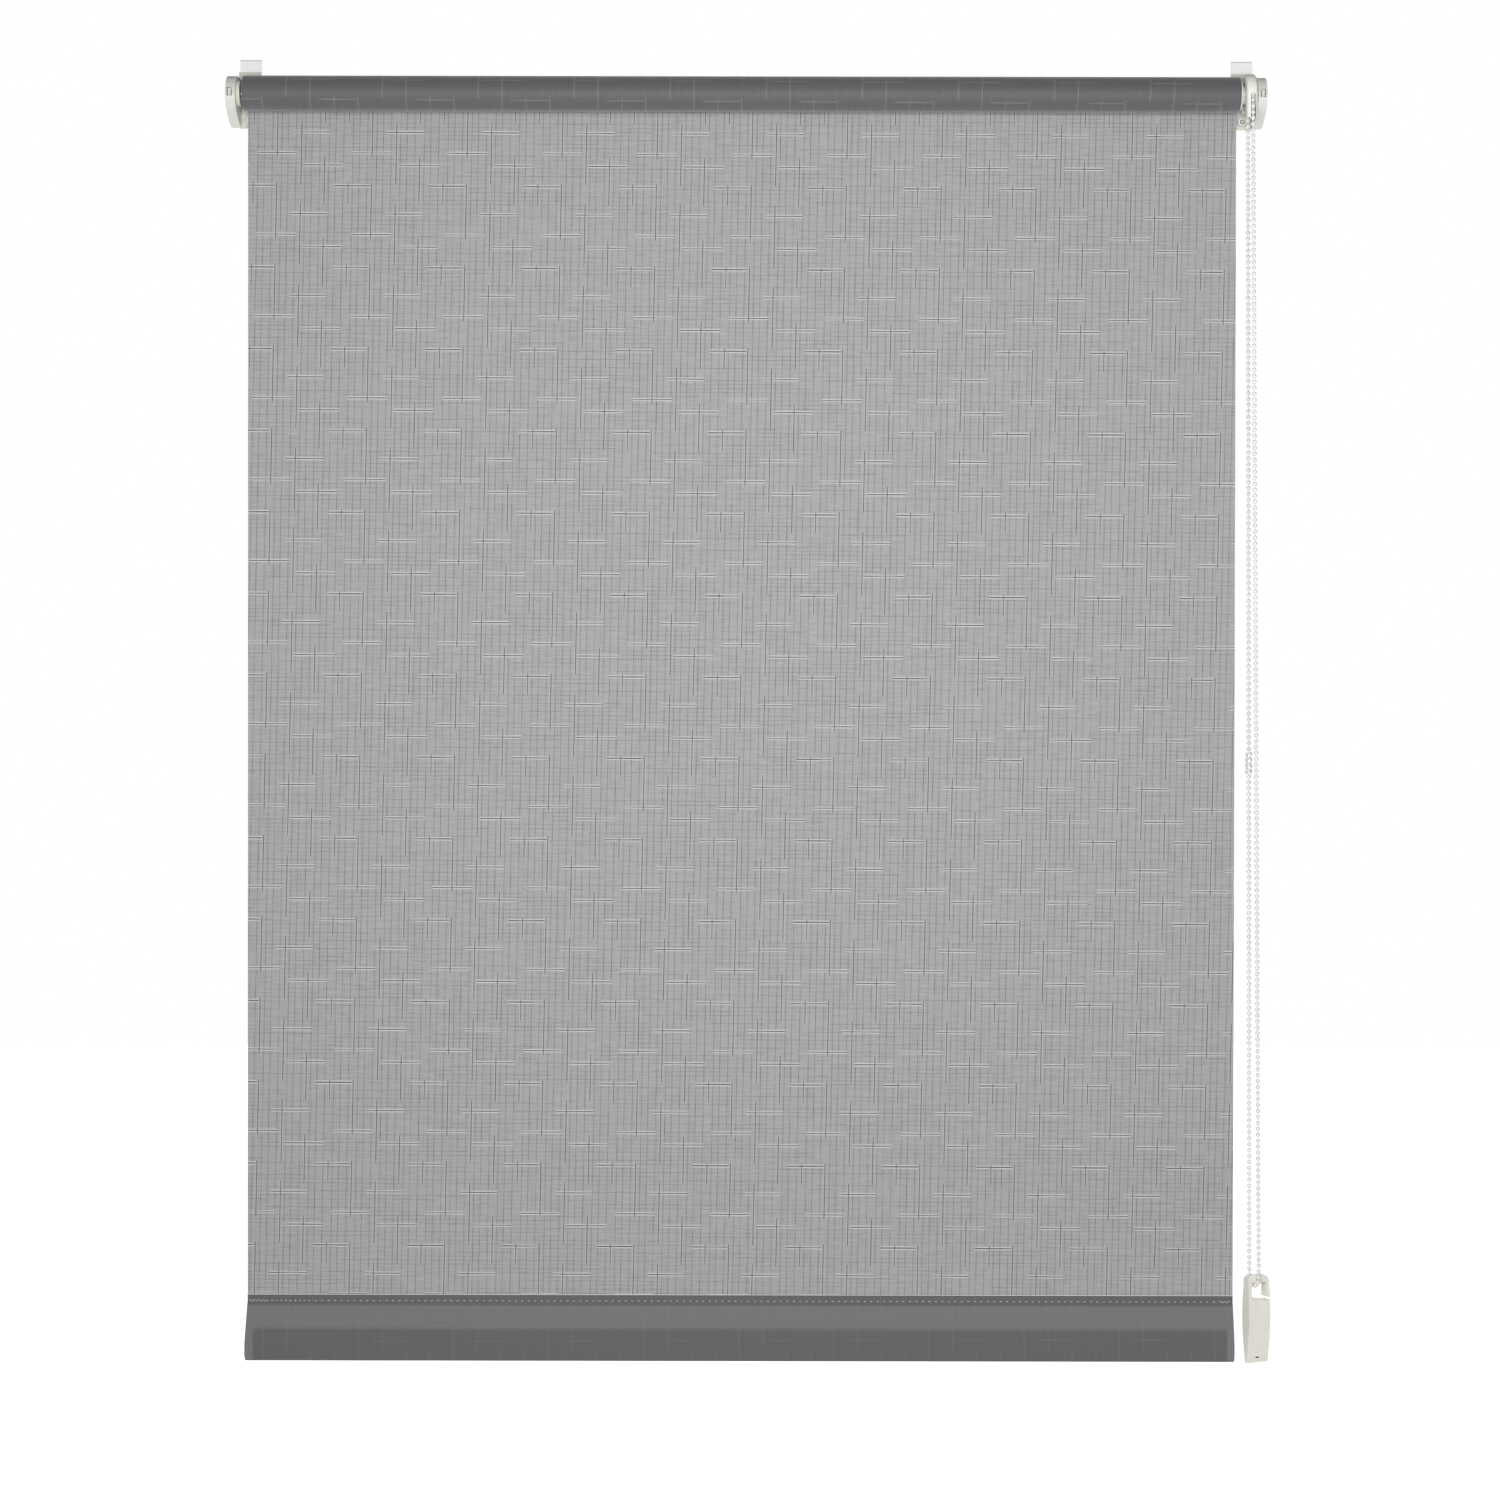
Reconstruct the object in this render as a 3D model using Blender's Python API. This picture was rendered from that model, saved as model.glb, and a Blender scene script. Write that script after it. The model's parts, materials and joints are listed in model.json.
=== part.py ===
"""A clamp-on roller blind, fully lowered, on the top edge of a window sash.

+X runs to the chain side, +Y into the sash and +Z up. The origin is the middle of the sash's
front top edge, halfway between the two brackets. Sizes below are in millimetres.
"""

import math

import bmesh
import bpy
from mathutils import Matrix, Vector

MM = 0.001

# Roller
AXIS_Y = -28.0
AXIS_Z = -38.0
ROLL_LEFT = -504.2
ROLL_RIGHT = 495.8
TUBE_OUTER_R = 16.0
TUBE_INNER_R = 14.9
ROLL_INNER_R = 16.3
ROLL_OUTER_R = 17.2

# Cloth and bottom bar
CLOTH = 0.55
SHEET_BACK_Y = -9.95
SHEET_TOP_Z = AXIS_Z
HEM_TOP_Z = AXIS_Z - 1213.4
HEM_SEAM_Z = HEM_TOP_Z - 6.0
HEM_BOTTOM_Z = AXIS_Z - 1280.4
BAR_TALL = 29.0
BAR_THICK = 8.4
BAR_WALL = 1.0
BAR_LEFT = -498.2
BAR_RIGHT = 489.8

# Brackets, caps and clamps
CAP_LEFT_OUTER = -521.3
CAP_LEFT_INNER = -511.5
CAP_RIGHT_OUTER = 521.3
CAP_RIGHT_INNER = 512.2
CAP_WALL = 1.5
CLAMP_X = 502.4
HOOK_WIDE = 22.0
HOOK_REAR_WIDE = 13.0
HOOK_THICK = 1.5
HOOK_FRONT_Y = -3.0
SASH_GAP = 20.0
BASE_FRONT_Y = -4.9
BASE_BACK_Y = -3.3
BASE_TOP_Z = -11.6
BASE_BOTTOM_Z = -68.2
CLAMP_SCREW_Z = -61.0
CLAMP_SCREW_R = 2.0
RIVET_Z = -30.0
RIVET_HOLE_R = 1.7
PLATE_THICK = 2.8
PLATE_TO_CAP = 0.4
BOSS_R = 4.6
BOSS_FRONT_Y = -9.2
BEARING_RING_R = 13.0
IDLE_PIN_BORE_R = 3.1
AXLE_SCREW_BORE_R = 1.8
GAP = 0.3

# The latch of each bracket, a nub in a window of the cap's nose. Y is from the roller axis.
WINDOW_LOW_Z = -44.4
WINDOW_HIGH_Z = -35.2
NUB_FRONT_Y = -18.0
NUB_BACK_Y = -14.0
NUB_LOW_Z = -43.6
NUB_HIGH_Z = -36.0
NUB_OUTER = 518.8
NUB_INNER = 515.8

# Chain
CHAIN_X = 507.2
BEAD_R = 2.25
PITCH_R = 15.38
WEIGHT_X = 514.5
WEIGHT_Z = -1229.3
WEIGHT_TURN = math.radians(23.0)
LOOP_R = 8.7
CONNECTOR_Z = -710.0
CONNECTOR_LONG = 22.5

# The end cap seen from the side: its outline (y, z) from the roller axis, along the top, round the
# nose and down to the foot. It is open at the back.
CAP_OUTLINE = [
    (22.6, 17.6),
    (4.0, 17.6),
    (-3.5, 16.8),
    (-10.0, 13.8),
    (-15.2, 9.0),
    (-18.6, 3.0),
    (-20.0, -4.0),
    (-18.8, -10.0),
    (-14.8, -15.6),
    (-8.0, -20.8),
    (0.5, -25.2),
    (8.0, -28.4),
    (14.0, -30.0),
    (22.6, -30.0),
]

WHITE = (0.83, 0.82, 0.79)
COLOURS = {
    "white": (WHITE, 0.0, 0.42),
    "steel": ((0.62, 0.63, 0.64), 1.0, 0.32),
    "aluminium": ((0.75, 0.76, 0.77), 1.0, 0.38),
    "rubber": ((0.06, 0.06, 0.06), 0.0, 0.8),
    "clear": ((0.8, 0.82, 0.82), 0.0, 0.25),
    "cloth_light": ((0.42, 0.42, 0.43), 0.0, 0.9),
    "cloth_dark": ((0.14, 0.14, 0.15), 0.0, 0.9),
}


def clear_scene():
    for obj in list(bpy.data.objects):
        bpy.data.objects.remove(obj, do_unlink=True)


def give_material(obj, look):
    colour, metallic, roughness = COLOURS[look]
    material = bpy.data.materials.new(obj.name)
    material.use_nodes = True
    shader = material.node_tree.nodes["Principled BSDF"]
    shader.inputs["Base Color"].default_value = (*colour, 1.0)
    shader.inputs["Metallic"].default_value = metallic
    shader.inputs["Roughness"].default_value = roughness
    obj.data.materials.clear()
    obj.data.materials.append(material)


def add_object(name, bm, look="white", smooth=False):
    """Makes an object of a bmesh in millimetres, with its faces turned out."""
    bmesh.ops.remove_doubles(bm, verts=bm.verts, dist=1e-5)
    bmesh.ops.recalc_face_normals(bm, faces=bm.faces)
    mesh = bpy.data.meshes.new(name)
    bm.to_mesh(mesh)
    bm.free()
    obj = bpy.data.objects.new(name, mesh)
    bpy.context.scene.collection.objects.link(obj)
    if smooth:
        mesh.shade_smooth()
        mesh.set_sharp_from_angle(angle=math.radians(35))
    give_material(obj, look)
    return obj


def prism(name, outline, low, high, axis, look="white"):
    """A prism of the closed outline. Its two coordinates are the other two axes, in X, Y, Z order."""
    bm = bmesh.new()
    rings = []
    for at in (low, high):
        ring = []
        for a, b in outline:
            point = {"X": (at, a, b), "Y": (a, at, b), "Z": (a, b, at)}[axis]
            ring.append(bm.verts.new(point))
        rings.append(ring)
    bm.faces.new(rings[0])
    bm.faces.new(rings[1])
    count = len(outline)
    for i in range(count):
        j = (i + 1) % count
        bm.faces.new((rings[0][i], rings[0][j], rings[1][j], rings[1][i]))
    return add_object(name, bm, look)


def box(name, low, high, look="white"):
    outline = [(low[0], low[1]), (high[0], low[1]), (high[0], high[1]), (low[0], high[1])]
    return prism(name, outline, low[2], high[2], "Z", look)


def turned(name, profile, centre, axis, look="white", sides=48):
    """A solid of revolution. The closed profile holds (distance along the axis, radius) pairs."""
    bm = bmesh.new()
    along = {"X": Vector((1, 0, 0)), "Y": Vector((0, 1, 0)), "Z": Vector((0, 0, 1))}[axis]
    first = {"X": Vector((0, 1, 0)), "Y": Vector((0, 0, 1)), "Z": Vector((1, 0, 0))}[axis]
    second = along.cross(first)
    rings = []
    for s in range(sides):
        angle = 2 * math.pi * s / sides
        out = math.cos(angle) * first + math.sin(angle) * second
        rings.append([bm.verts.new(Vector(centre) + d * along + r * out) for d, r in profile])
    count = len(profile)
    for s in range(sides):
        here, there = rings[s], rings[(s + 1) % sides]
        for i in range(count):
            j = (i + 1) % count
            if profile[i][1] == 0 and profile[j][1] == 0:
                continue
            if profile[i][1] == 0:
                bm.faces.new((here[i], there[j], here[j]))
            elif profile[j][1] == 0:
                bm.faces.new((here[i], there[i], here[j]))
            else:
                bm.faces.new((here[i], there[i], there[j], here[j]))
    return add_object(name, bm, look, smooth=True)


def rod(name, low, high, radius, centre, axis, look="white", sides=32):
    profile = [(low, 0.0), (low, radius), (high, radius), (high, 0.0)]
    return turned(name, profile, centre, axis, look, sides)


def combine(target, other, operation):
    """Adds another object to the target, or cuts it away, and removes the other object."""
    modifier = target.modifiers.new(operation.lower(), "BOOLEAN")
    modifier.operation = operation
    modifier.object = other
    modifier.solver = "EXACT"
    graph = bpy.context.evaluated_depsgraph_get()
    mesh = bpy.data.meshes.new_from_object(target.evaluated_get(graph))
    target.modifiers.clear()
    target.data = mesh
    bpy.data.objects.remove(other, do_unlink=True)


def cut(target, other):
    combine(target, other, "DIFFERENCE")


def join(target, other):
    combine(target, other, "UNION")


def inset(outline, distance):
    """The open outline moved inwards by a distance, by averaging the normals at each point."""
    moved = []
    for i, (y, z) in enumerate(outline):
        before = outline[max(i - 1, 0)]
        after = outline[min(i + 1, len(outline) - 1)]
        dy, dz = after[0] - before[0], after[1] - before[1]
        long = math.hypot(dy, dz)
        moved.append((y - dz / long * distance, z + dy / long * distance))
    return moved


def at_axis(outline):
    return [(AXIS_Y + y, AXIS_Z + z) for y, z in outline]


def tube_along(name, points, radius, look, resolution=3):
    """A cord of one thickness along a line of points, with closed ends."""
    curve = bpy.data.curves.new(name, "CURVE")
    curve.dimensions = "3D"
    curve.bevel_depth = radius
    curve.bevel_resolution = resolution
    curve.use_fill_caps = True
    spline = curve.splines.new("POLY")
    spline.points.add(len(points) - 1)
    for slot, point in zip(spline.points, points):
        slot.co = (*point, 1.0)
    obj = bpy.data.objects.new(name, curve)
    bpy.context.scene.collection.objects.link(obj)
    give_material(obj, look)
    return obj


def coil(name, low, high, radius, wire, turns, centre_yz, look="steel"):
    """A closed-ended coil spring along X."""
    steps = int(turns * 12)
    points = []
    for i in range(steps + 1):
        share = i / steps
        angle = 2 * math.pi * turns * share
        y = centre_yz[0] + radius * math.cos(angle)
        z = centre_yz[1] + radius * math.sin(angle)
        points.append((low + (high - low) * share, y, z))
    return tube_along(name, points, wire / 2, look, resolution=1)


def end_cap(name, outer, inner):
    """The cover of one bracket: a plate with a rim along its top, nose and bottom."""
    side = 1 if outer > 0 else -1
    low, high = sorted((outer, inner))
    cap = prism(name, at_axis(CAP_OUTLINE), low, high, "X")
    hollow_line = inset(CAP_OUTLINE, CAP_WALL)
    hollow_line[0] = (30.0, hollow_line[0][1])
    hollow_line[-1] = (30.0, hollow_line[-1][1])
    low, high = sorted((outer - side * CAP_WALL, inner - side * 1.0))
    cut(cap, prism("hollow", at_axis(hollow_line), low, high, "X"))
    low, high = sorted((outer - side * 1.4, outer - side * 7.0))
    window_low = (low, AXIS_Y - 25.0, WINDOW_LOW_Z)
    cut(cap, box("window", window_low, (high, AXIS_Y - 15.0, WINDOW_HIGH_Z)))
    cap.modifiers.new("edges", "BEVEL").width = 0.4 * MM
    cap.modifiers["edges"].segments = 2
    cap.modifiers["edges"].limit_method = "ANGLE"
    cap.modifiers["edges"].angle_limit = math.radians(50)
    return cap


def bracket(name, side, plate_inner, bore_r):
    """A side plate inside the cap, a base plate on the sash side and a boss for the clamp screw."""
    plate_outer = plate_inner + side * PLATE_THICK
    line = inset(CAP_OUTLINE, CAP_WALL + PLATE_TO_CAP)
    line[0] = (BASE_BACK_Y - AXIS_Y - 0.4, line[0][1])
    line[-1] = (BASE_BACK_Y - AXIS_Y - 0.4, line[-1][1])
    low, high = sorted((plate_inner, plate_outer))
    part = prism(name, at_axis(line), low, high, "X")
    low, high = sorted((side * (CLAMP_X - HOOK_WIDE / 2), plate_outer - side * 0.4))
    base_low = (low, BASE_FRONT_Y, BASE_BOTTOM_Z)
    join(part, box("base", base_low, (high, BASE_BACK_Y, BASE_TOP_Z)))
    centre = (side * CLAMP_X, 0, CLAMP_SCREW_Z)
    join(part, rod("boss", BOSS_FRONT_Y, -4.0, BOSS_R, centre, "Y"))
    cut(part, rod("hole", -12.0, 0.0, CLAMP_SCREW_R + 0.2, centre, "Y"))
    cut(part, rod("hole", -8.0, 0.0, RIVET_HOLE_R, (side * CLAMP_X, 0, RIVET_Z), "Y"))
    low, high = sorted((plate_outer - side * 1.0, side * (NUB_OUTER + 0.2)))
    stem_low = (low, AXIS_Y + NUB_BACK_Y - 0.6, NUB_LOW_Z - 0.2)
    stem_high = (high, AXIS_Y + NUB_BACK_Y + 1.6, NUB_HIGH_Z + 0.2)
    join(part, box("latch", stem_low, stem_high))
    low, high = sorted((side * NUB_INNER, side * NUB_OUTER))
    nub_low = (low, AXIS_Y + NUB_FRONT_Y, NUB_LOW_Z)
    join(part, box("nub", nub_low, (high, AXIS_Y + NUB_BACK_Y, NUB_HIGH_Z)))
    axis = (0, AXIS_Y, AXIS_Z)
    if side < 0:
        ring = rod("ring", plate_inner - 1.0, plate_inner + 3.6, BEARING_RING_R, axis, "X", sides=48)
        join(part, ring)
    low, high = sorted((plate_outer + side * 2.0, plate_inner - side * 8.0))
    cut(part, rod("bore", low, high, bore_r, axis, "X", sides=48))
    return part


def hook(name, side):
    """The steel strip over the sash: a wide front leg, then a narrower bridge and rear leg."""
    middle = side * CLAMP_X
    back = SASH_GAP + HOOK_THICK
    front_leg = [
        (HOOK_FRONT_Y, BASE_BOTTOM_Z),
        (HOOK_FRONT_Y, 0.6),
        (HOOK_FRONT_Y + 0.9, HOOK_THICK),
        (HOOK_FRONT_Y + 2.4, HOOK_THICK),
        (HOOK_FRONT_Y + 2.4, 0.0),
        (HOOK_FRONT_Y + HOOK_THICK, 0.0),
        (HOOK_FRONT_Y + HOOK_THICK, BASE_BOTTOM_Z),
    ]
    rear = [
        (HOOK_FRONT_Y + 1.2, 0.0),
        (HOOK_FRONT_Y + 1.2, HOOK_THICK),
        (back - 0.9, HOOK_THICK),
        (back, 0.6),
        (back, -18.0),
        (SASH_GAP, -18.0),
        (SASH_GAP, 0.0),
    ]
    strip = prism(name, front_leg, middle - HOOK_WIDE / 2, middle + HOOK_WIDE / 2, "X", "steel")
    low, high = middle - HOOK_REAR_WIDE / 2, middle + HOOK_REAR_WIDE / 2
    join(strip, prism("rear", rear, low, high, "X"))
    cut(strip, rod("hole", -6.0, 0.0, 2.3, (middle, 0, CLAMP_SCREW_Z), "Y"))
    cut(strip, rod("hole", -6.0, 0.0, RIVET_HOLE_R, (middle, 0, RIVET_Z), "Y"))
    return strip


def clamp(suffix, side):
    """One hook with its pad, rivet, screw and pressure foot."""
    hook("hook_" + suffix, side)
    middle = side * CLAMP_X
    low, high = middle - HOOK_REAR_WIDE / 2 + 1.0, middle + HOOK_REAR_WIDE / 2 - 1.0
    box("hook_pad_" + suffix, (low, 18.6, -16.0), (high, SASH_GAP - GAP, -3.0), "rubber")
    rivet_line = [(-5.9, 0.0), (-5.9, 1.9), (-5.2, 2.8), (-5.2, 1.4), (-1.6, 1.4), (-1.6, 0.0)]
    turned("hook_rivet_" + suffix, rivet_line, (middle, 0, RIVET_Z), "Y", "steel", 24)
    centre = (middle, 0, CLAMP_SCREW_Z)
    screw_line = [
        (-9.0, 0.0),
        (-9.0, 1.6),
        (-8.6, CLAMP_SCREW_R),
        (-2.4, CLAMP_SCREW_R),
        (-1.5, 1.1),
        (-1.5, 0.0),
    ]
    screw = turned("clamp_screw_" + suffix, screw_line, centre, "Y", "steel", 24)
    cut(screw, rod("socket", -10.0, -7.2, 1.1, centre, "Y", sides=6))
    foot = [(-1.2, 0.0), (-1.2, 5.0), (-0.8, 5.4), (0.0, 5.4), (0.0, 0.0)]
    turned("pressure_pad_" + suffix, foot, centre, "Y", "rubber", 32)


def roller():
    centre = (0, AXIS_Y, AXIS_Z)
    left, right = ROLL_LEFT, ROLL_RIGHT
    tube_line = [(left, TUBE_INNER_R), (left, TUBE_OUTER_R), (right, TUBE_OUTER_R), (right, TUBE_INNER_R)]
    turned("roller_tube", tube_line, centre, "X", "aluminium", 64)
    roll_line = [(left, ROLL_INNER_R), (left, ROLL_OUTER_R), (right, ROLL_OUTER_R), (right, ROLL_INNER_R)]
    turned("fabric_roll", roll_line, centre, "X", "cloth_dark", 64)
    idle_line = [
        (left - 1.4, 3.1),
        (left - 1.4, 15.8),
        (left - 0.3, 15.8),
        (left - 0.3, 14.6),
        (left + 36.0, 14.6),
        (left + 36.0, 3.1),
        (left + 32.0, 3.1),
        (left + 32.0, 5.2),
        (left + 6.0, 5.2),
        (left + 6.0, 3.1),
    ]
    turned("idle_plug", idle_line, centre, "X")
    pin_line = [
        (left - 9.7, 0.0),
        (left - 9.7, 2.2),
        (left - 8.9, 3.0),
        (left + 6.4, 3.0),
        (left + 6.4, 4.8),
        (left + 8.4, 4.8),
        (left + 8.4, 3.0),
        (left + 31.5, 3.0),
        (left + 31.5, 0.0),
    ]
    turned("idle_pin", pin_line, centre, "X", "steel", 32)
    coil("idle_spring", left + 9.1, left + 31.3, 4.1, 0.8, 6, (AXIS_Y, AXIS_Z))
    drive_line = [
        (right - 34.0, 6.4),
        (right - 34.0, 14.6),
        (right + 0.3, 14.6),
        (right + 0.3, 15.8),
        (right + 1.6, 15.8),
        (right + 1.6, 9.6),
        (right - 30.0, 9.6),
        (right - 30.0, 6.4),
    ]
    turned("drive_plug", drive_line, centre, "X")
    side_a, side_b = CHAIN_X - 2.6, CHAIN_X + 2.6
    wheel_line = [
        (right - 27.0, 7.8),
        (right - 27.0, 9.2),
        (side_a - 1.8, 9.2),
        (side_a - 1.8, 16.6),
        (side_a, 16.6),
        (side_a, 12.6),
        (side_b, 12.6),
        (side_b, 16.6),
        (side_b + 1.4, 16.6),
        (side_b + 1.4, 6.3),
        (right + 2.0, 6.3),
        (right + 2.0, 7.8),
    ]
    turned("chain_wheel", wheel_line, centre, "X")
    coil("wrap_spring_1", right - 24.0, right - 14.0, 6.75, 0.9, 5, (AXIS_Y, AXIS_Z))
    coil("wrap_spring_2", right - 11.0, right - 1.0, 6.75, 0.9, 5, (AXIS_Y, AXIS_Z))


def clutch():
    """The fixed axle that the chain wheel runs on, its screw, and the guard over the wheel."""
    centre = (0, AXIS_Y, AXIS_Z)
    plate = CAP_RIGHT_INNER + 0.2
    axle_line = [
        (ROLL_RIGHT - 33.5, 0.0),
        (ROLL_RIGHT - 33.5, 5.6),
        (ROLL_RIGHT - 33.0, 6.0),
        (plate - 0.5, 6.0),
        (plate - 0.5, 1.8),
        (plate - 12.6, 1.8),
        (plate - 12.6, 0.0),
    ]
    turned("clutch_axle", axle_line, centre, "X", "white", 40)
    head = plate + PLATE_THICK + 0.2
    screw_line = [
        (head - 14.6, 0.0),
        (head - 14.6, 1.5),
        (head, 1.5),
        (head, 3.5),
        (head + 1.8, 2.8),
        (head + 2.3, 1.4),
        (head + 2.3, 0.0),
    ]
    turned("axle_screw", screw_line, centre, "X", "steel", 32)
    outer = [(20.3, -15.0)]
    inner = [(18.7, -15.0)]
    for i in range(25):
        angle = math.pi * i / 24
        outer.append((20.3 * math.cos(angle), 20.3 * math.sin(angle)))
        inner.append((18.7 * math.cos(angle), 18.7 * math.sin(angle)))
    outer.append((-20.3, -26.0))
    inner.append((-18.7, -26.0))
    low, high = CAP_RIGHT_INNER - 11.6, CAP_RIGHT_INNER - 0.2
    guard = prism("chain_guard", at_axis(outer + inner[::-1]), low, high, "X")
    wall = [(19.5, -14.9)] + [(y * 0.96, z * 0.96) for y, z in outer[1:-1]] + [(-19.5, -25.9)]
    join(guard, prism("wall", at_axis(wall), low + 0.1, low + 1.4, "X"))
    cut(guard, rod("hole", low - 9.0, low + 6.0, 10.6, centre, "X", sides=40))
    slot_low = (CHAIN_X - 3.2, AXIS_Y - 24.0, -70.0)
    slot = box("slot", slot_low, (CHAIN_X + 3.2, AXIS_Y - 12.0, -36.0))
    cut(guard, slot)


def cloth():
    left, right = ROLL_LEFT, ROLL_RIGHT
    box(
        "fabric_sheet",
        (left, SHEET_BACK_Y - CLOTH, HEM_TOP_Z + GAP),
        (right, SHEET_BACK_Y, SHEET_TOP_Z),
        "cloth_light",
    )
    middle = SHEET_BACK_Y - CLOTH / 2
    bar_top = HEM_BOTTOM_Z + 1.0 + BAR_TALL
    inside = BAR_THICK / 2 + GAP
    outer = inside + CLOTH
    low = HEM_BOTTOM_Z
    outline = [
        (-CLOTH, HEM_TOP_Z),
        (-CLOTH, HEM_SEAM_Z),
        (-outer, bar_top),
        (-outer, low + 3.2),
        (-outer + 1.2, low + 1.0),
        (-outer + 3.2, low),
        (outer - 3.2, low),
        (outer - 1.2, low + 1.0),
        (outer, low + 3.2),
        (outer, bar_top),
        (CLOTH, HEM_SEAM_Z),
        (CLOTH, HEM_TOP_Z),
    ]
    outline = [(middle + y, z) for y, z in outline]
    hem = prism("hem", outline, left, right, "X", "cloth_dark")
    pocket = [
        (-0.1, HEM_SEAM_Z - 2.0),
        (-inside, bar_top),
        (-inside, low + 3.4),
        (-inside + 1.1, low + 1.5),
        (-inside + 3.0, low + 0.6),
        (inside - 3.0, low + 0.6),
        (inside - 1.1, low + 1.5),
        (inside, low + 3.4),
        (inside, bar_top),
        (0.1, HEM_SEAM_Z - 2.0),
    ]
    pocket = [(middle + y, z) for y, z in pocket]
    cut(hem, prism("pocket", pocket, left - 5.0, right + 5.0, "X"))
    bottom_bar(middle, low + 0.6 + GAP)


def rounded(half_wide, low, high, radius):
    """A rectangle with rounded corners, as (y, z) points about y = 0."""
    points = []
    corners = [
        (half_wide - radius, high - radius, 0),
        (-half_wide + radius, high - radius, 90),
        (-half_wide + radius, low + radius, 180),
        (half_wide - radius, low + radius, 270),
    ]
    for y, z, start in corners:
        for step in range(5):
            angle = math.radians(start + step * 22.5)
            points.append((y + radius * math.cos(angle), z + radius * math.sin(angle)))
    return points


def bottom_bar(middle, low):
    """A hollow flat bar in the hem, with a plug in each end."""
    half = BAR_THICK / 2
    high = low + BAR_TALL
    skin = [(middle + y, z) for y, z in rounded(half, low, high, 3.0)]
    core_half = half - BAR_WALL
    core = rounded(core_half, low + BAR_WALL, high - BAR_WALL, 2.0)
    core = [(middle + y, z) for y, z in core]
    bar = prism("bottom_bar", skin, BAR_LEFT, BAR_RIGHT, "X", "aluminium")
    cut(bar, prism("core", core, BAR_LEFT - 5, BAR_RIGHT + 5, "X"))
    plug_half = core_half - GAP
    stem = rounded(plug_half, low + BAR_WALL + GAP, high - BAR_WALL - GAP, 1.8)
    stem = [(middle + y, z) for y, z in stem]
    for suffix, end, side in (("left", BAR_LEFT, -1), ("right", BAR_RIGHT, 1)):
        a, b = sorted((end + side * GAP, end + side * 1.8))
        plug = prism("bar_plug_" + suffix, skin, a, b, "X")
        a, b = sorted((end + side * 2 * GAP, end - side * 12.0))
        join(plug, prism("stem", stem, a, b, "X"))


def weight_place():
    turn = Matrix.Rotation(WEIGHT_TURN, 4, "Z")
    return Matrix.Translation((WEIGHT_X, AXIS_Y, WEIGHT_Z)) @ turn


def chain_weight():
    """A weight hanging in the chain's loop. (u, v, w) run along its broad side, through it and up.

    Its arch is a bar that is round below, its prong ends over a slit, and it thins to its foot.
    """
    left, right = -9.6, 15.4
    top, bottom = 3.0, -85.8
    outline = [
        (left + 4.5, top),
        (left + 1.3, top - 1.3),
        (left, top - 4.5),
        (left, bottom + 1.0),
        (left + 1.0, bottom),
        (right - 1.0, bottom),
        (right, bottom + 1.0),
        (right, top - 7.0),
        (right - 2.0, top - 2.0),
        (right - 7.0, top),
    ]
    body = prism("chain_weight", outline, -7.0, 7.0, "Y")
    face = [
        (3.0, top + 1.0),
        (4.4, top - 2.0),
        (4.8, -7.0),
        (6.2, -22.0),
        (6.8, -37.0),
        (5.9, -57.0),
        (3.6, -72.0),
        (1.3, bottom - 1.0),
    ]
    wedge = [(-v, w) for v, w in face] + face[::-1]
    combine(body, prism("wedge", wedge, left - 5, right + 5, "X"), "INTERSECT")
    arch_r = 6.1
    eye_left, eye_right = left + 4.0, right - 3.4
    middle, half = (eye_left + eye_right) / 2, (eye_right - eye_left) / 2
    eye = rounded(half, -21.4, -arch_r, 2.0)
    cut(body, prism("eye", [(u + middle, w) for u, w in eye], -10, 10, "Y"))
    cut(body, box("slit", (eye_right - 3.0, -10, -22.4), (right + 5, 10, -19.8)))
    slot = rounded(2.4, -81.4, -79.6, 0.8)
    cut(body, prism("slot", [(u + 2.6, w) for u, w in slot], -10, 10, "Y"))
    for sign in (-1, 1):
        corner = [(sign * 0.5, -arch_r - 0.2), (sign * 9.0, -arch_r - 0.2), (sign * 9.0, 0.0)]
        for step in range(8):
            angle = math.radians(step * 12.0)
            corner.append((sign * arch_r * math.cos(angle), -arch_r * math.sin(angle)))
        cut(body, prism("corner", corner, eye_left + 0.01, eye_right - 0.01, "X"))
    body.data.transform(weight_place())
    body.modifiers.new("edges", "BEVEL").width = 0.5 * MM
    body.modifiers["edges"].segments = 2
    body.modifiers["edges"].limit_method = "ANGLE"
    body.modifiers["edges"].angle_limit = math.radians(50)
    return body


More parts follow.
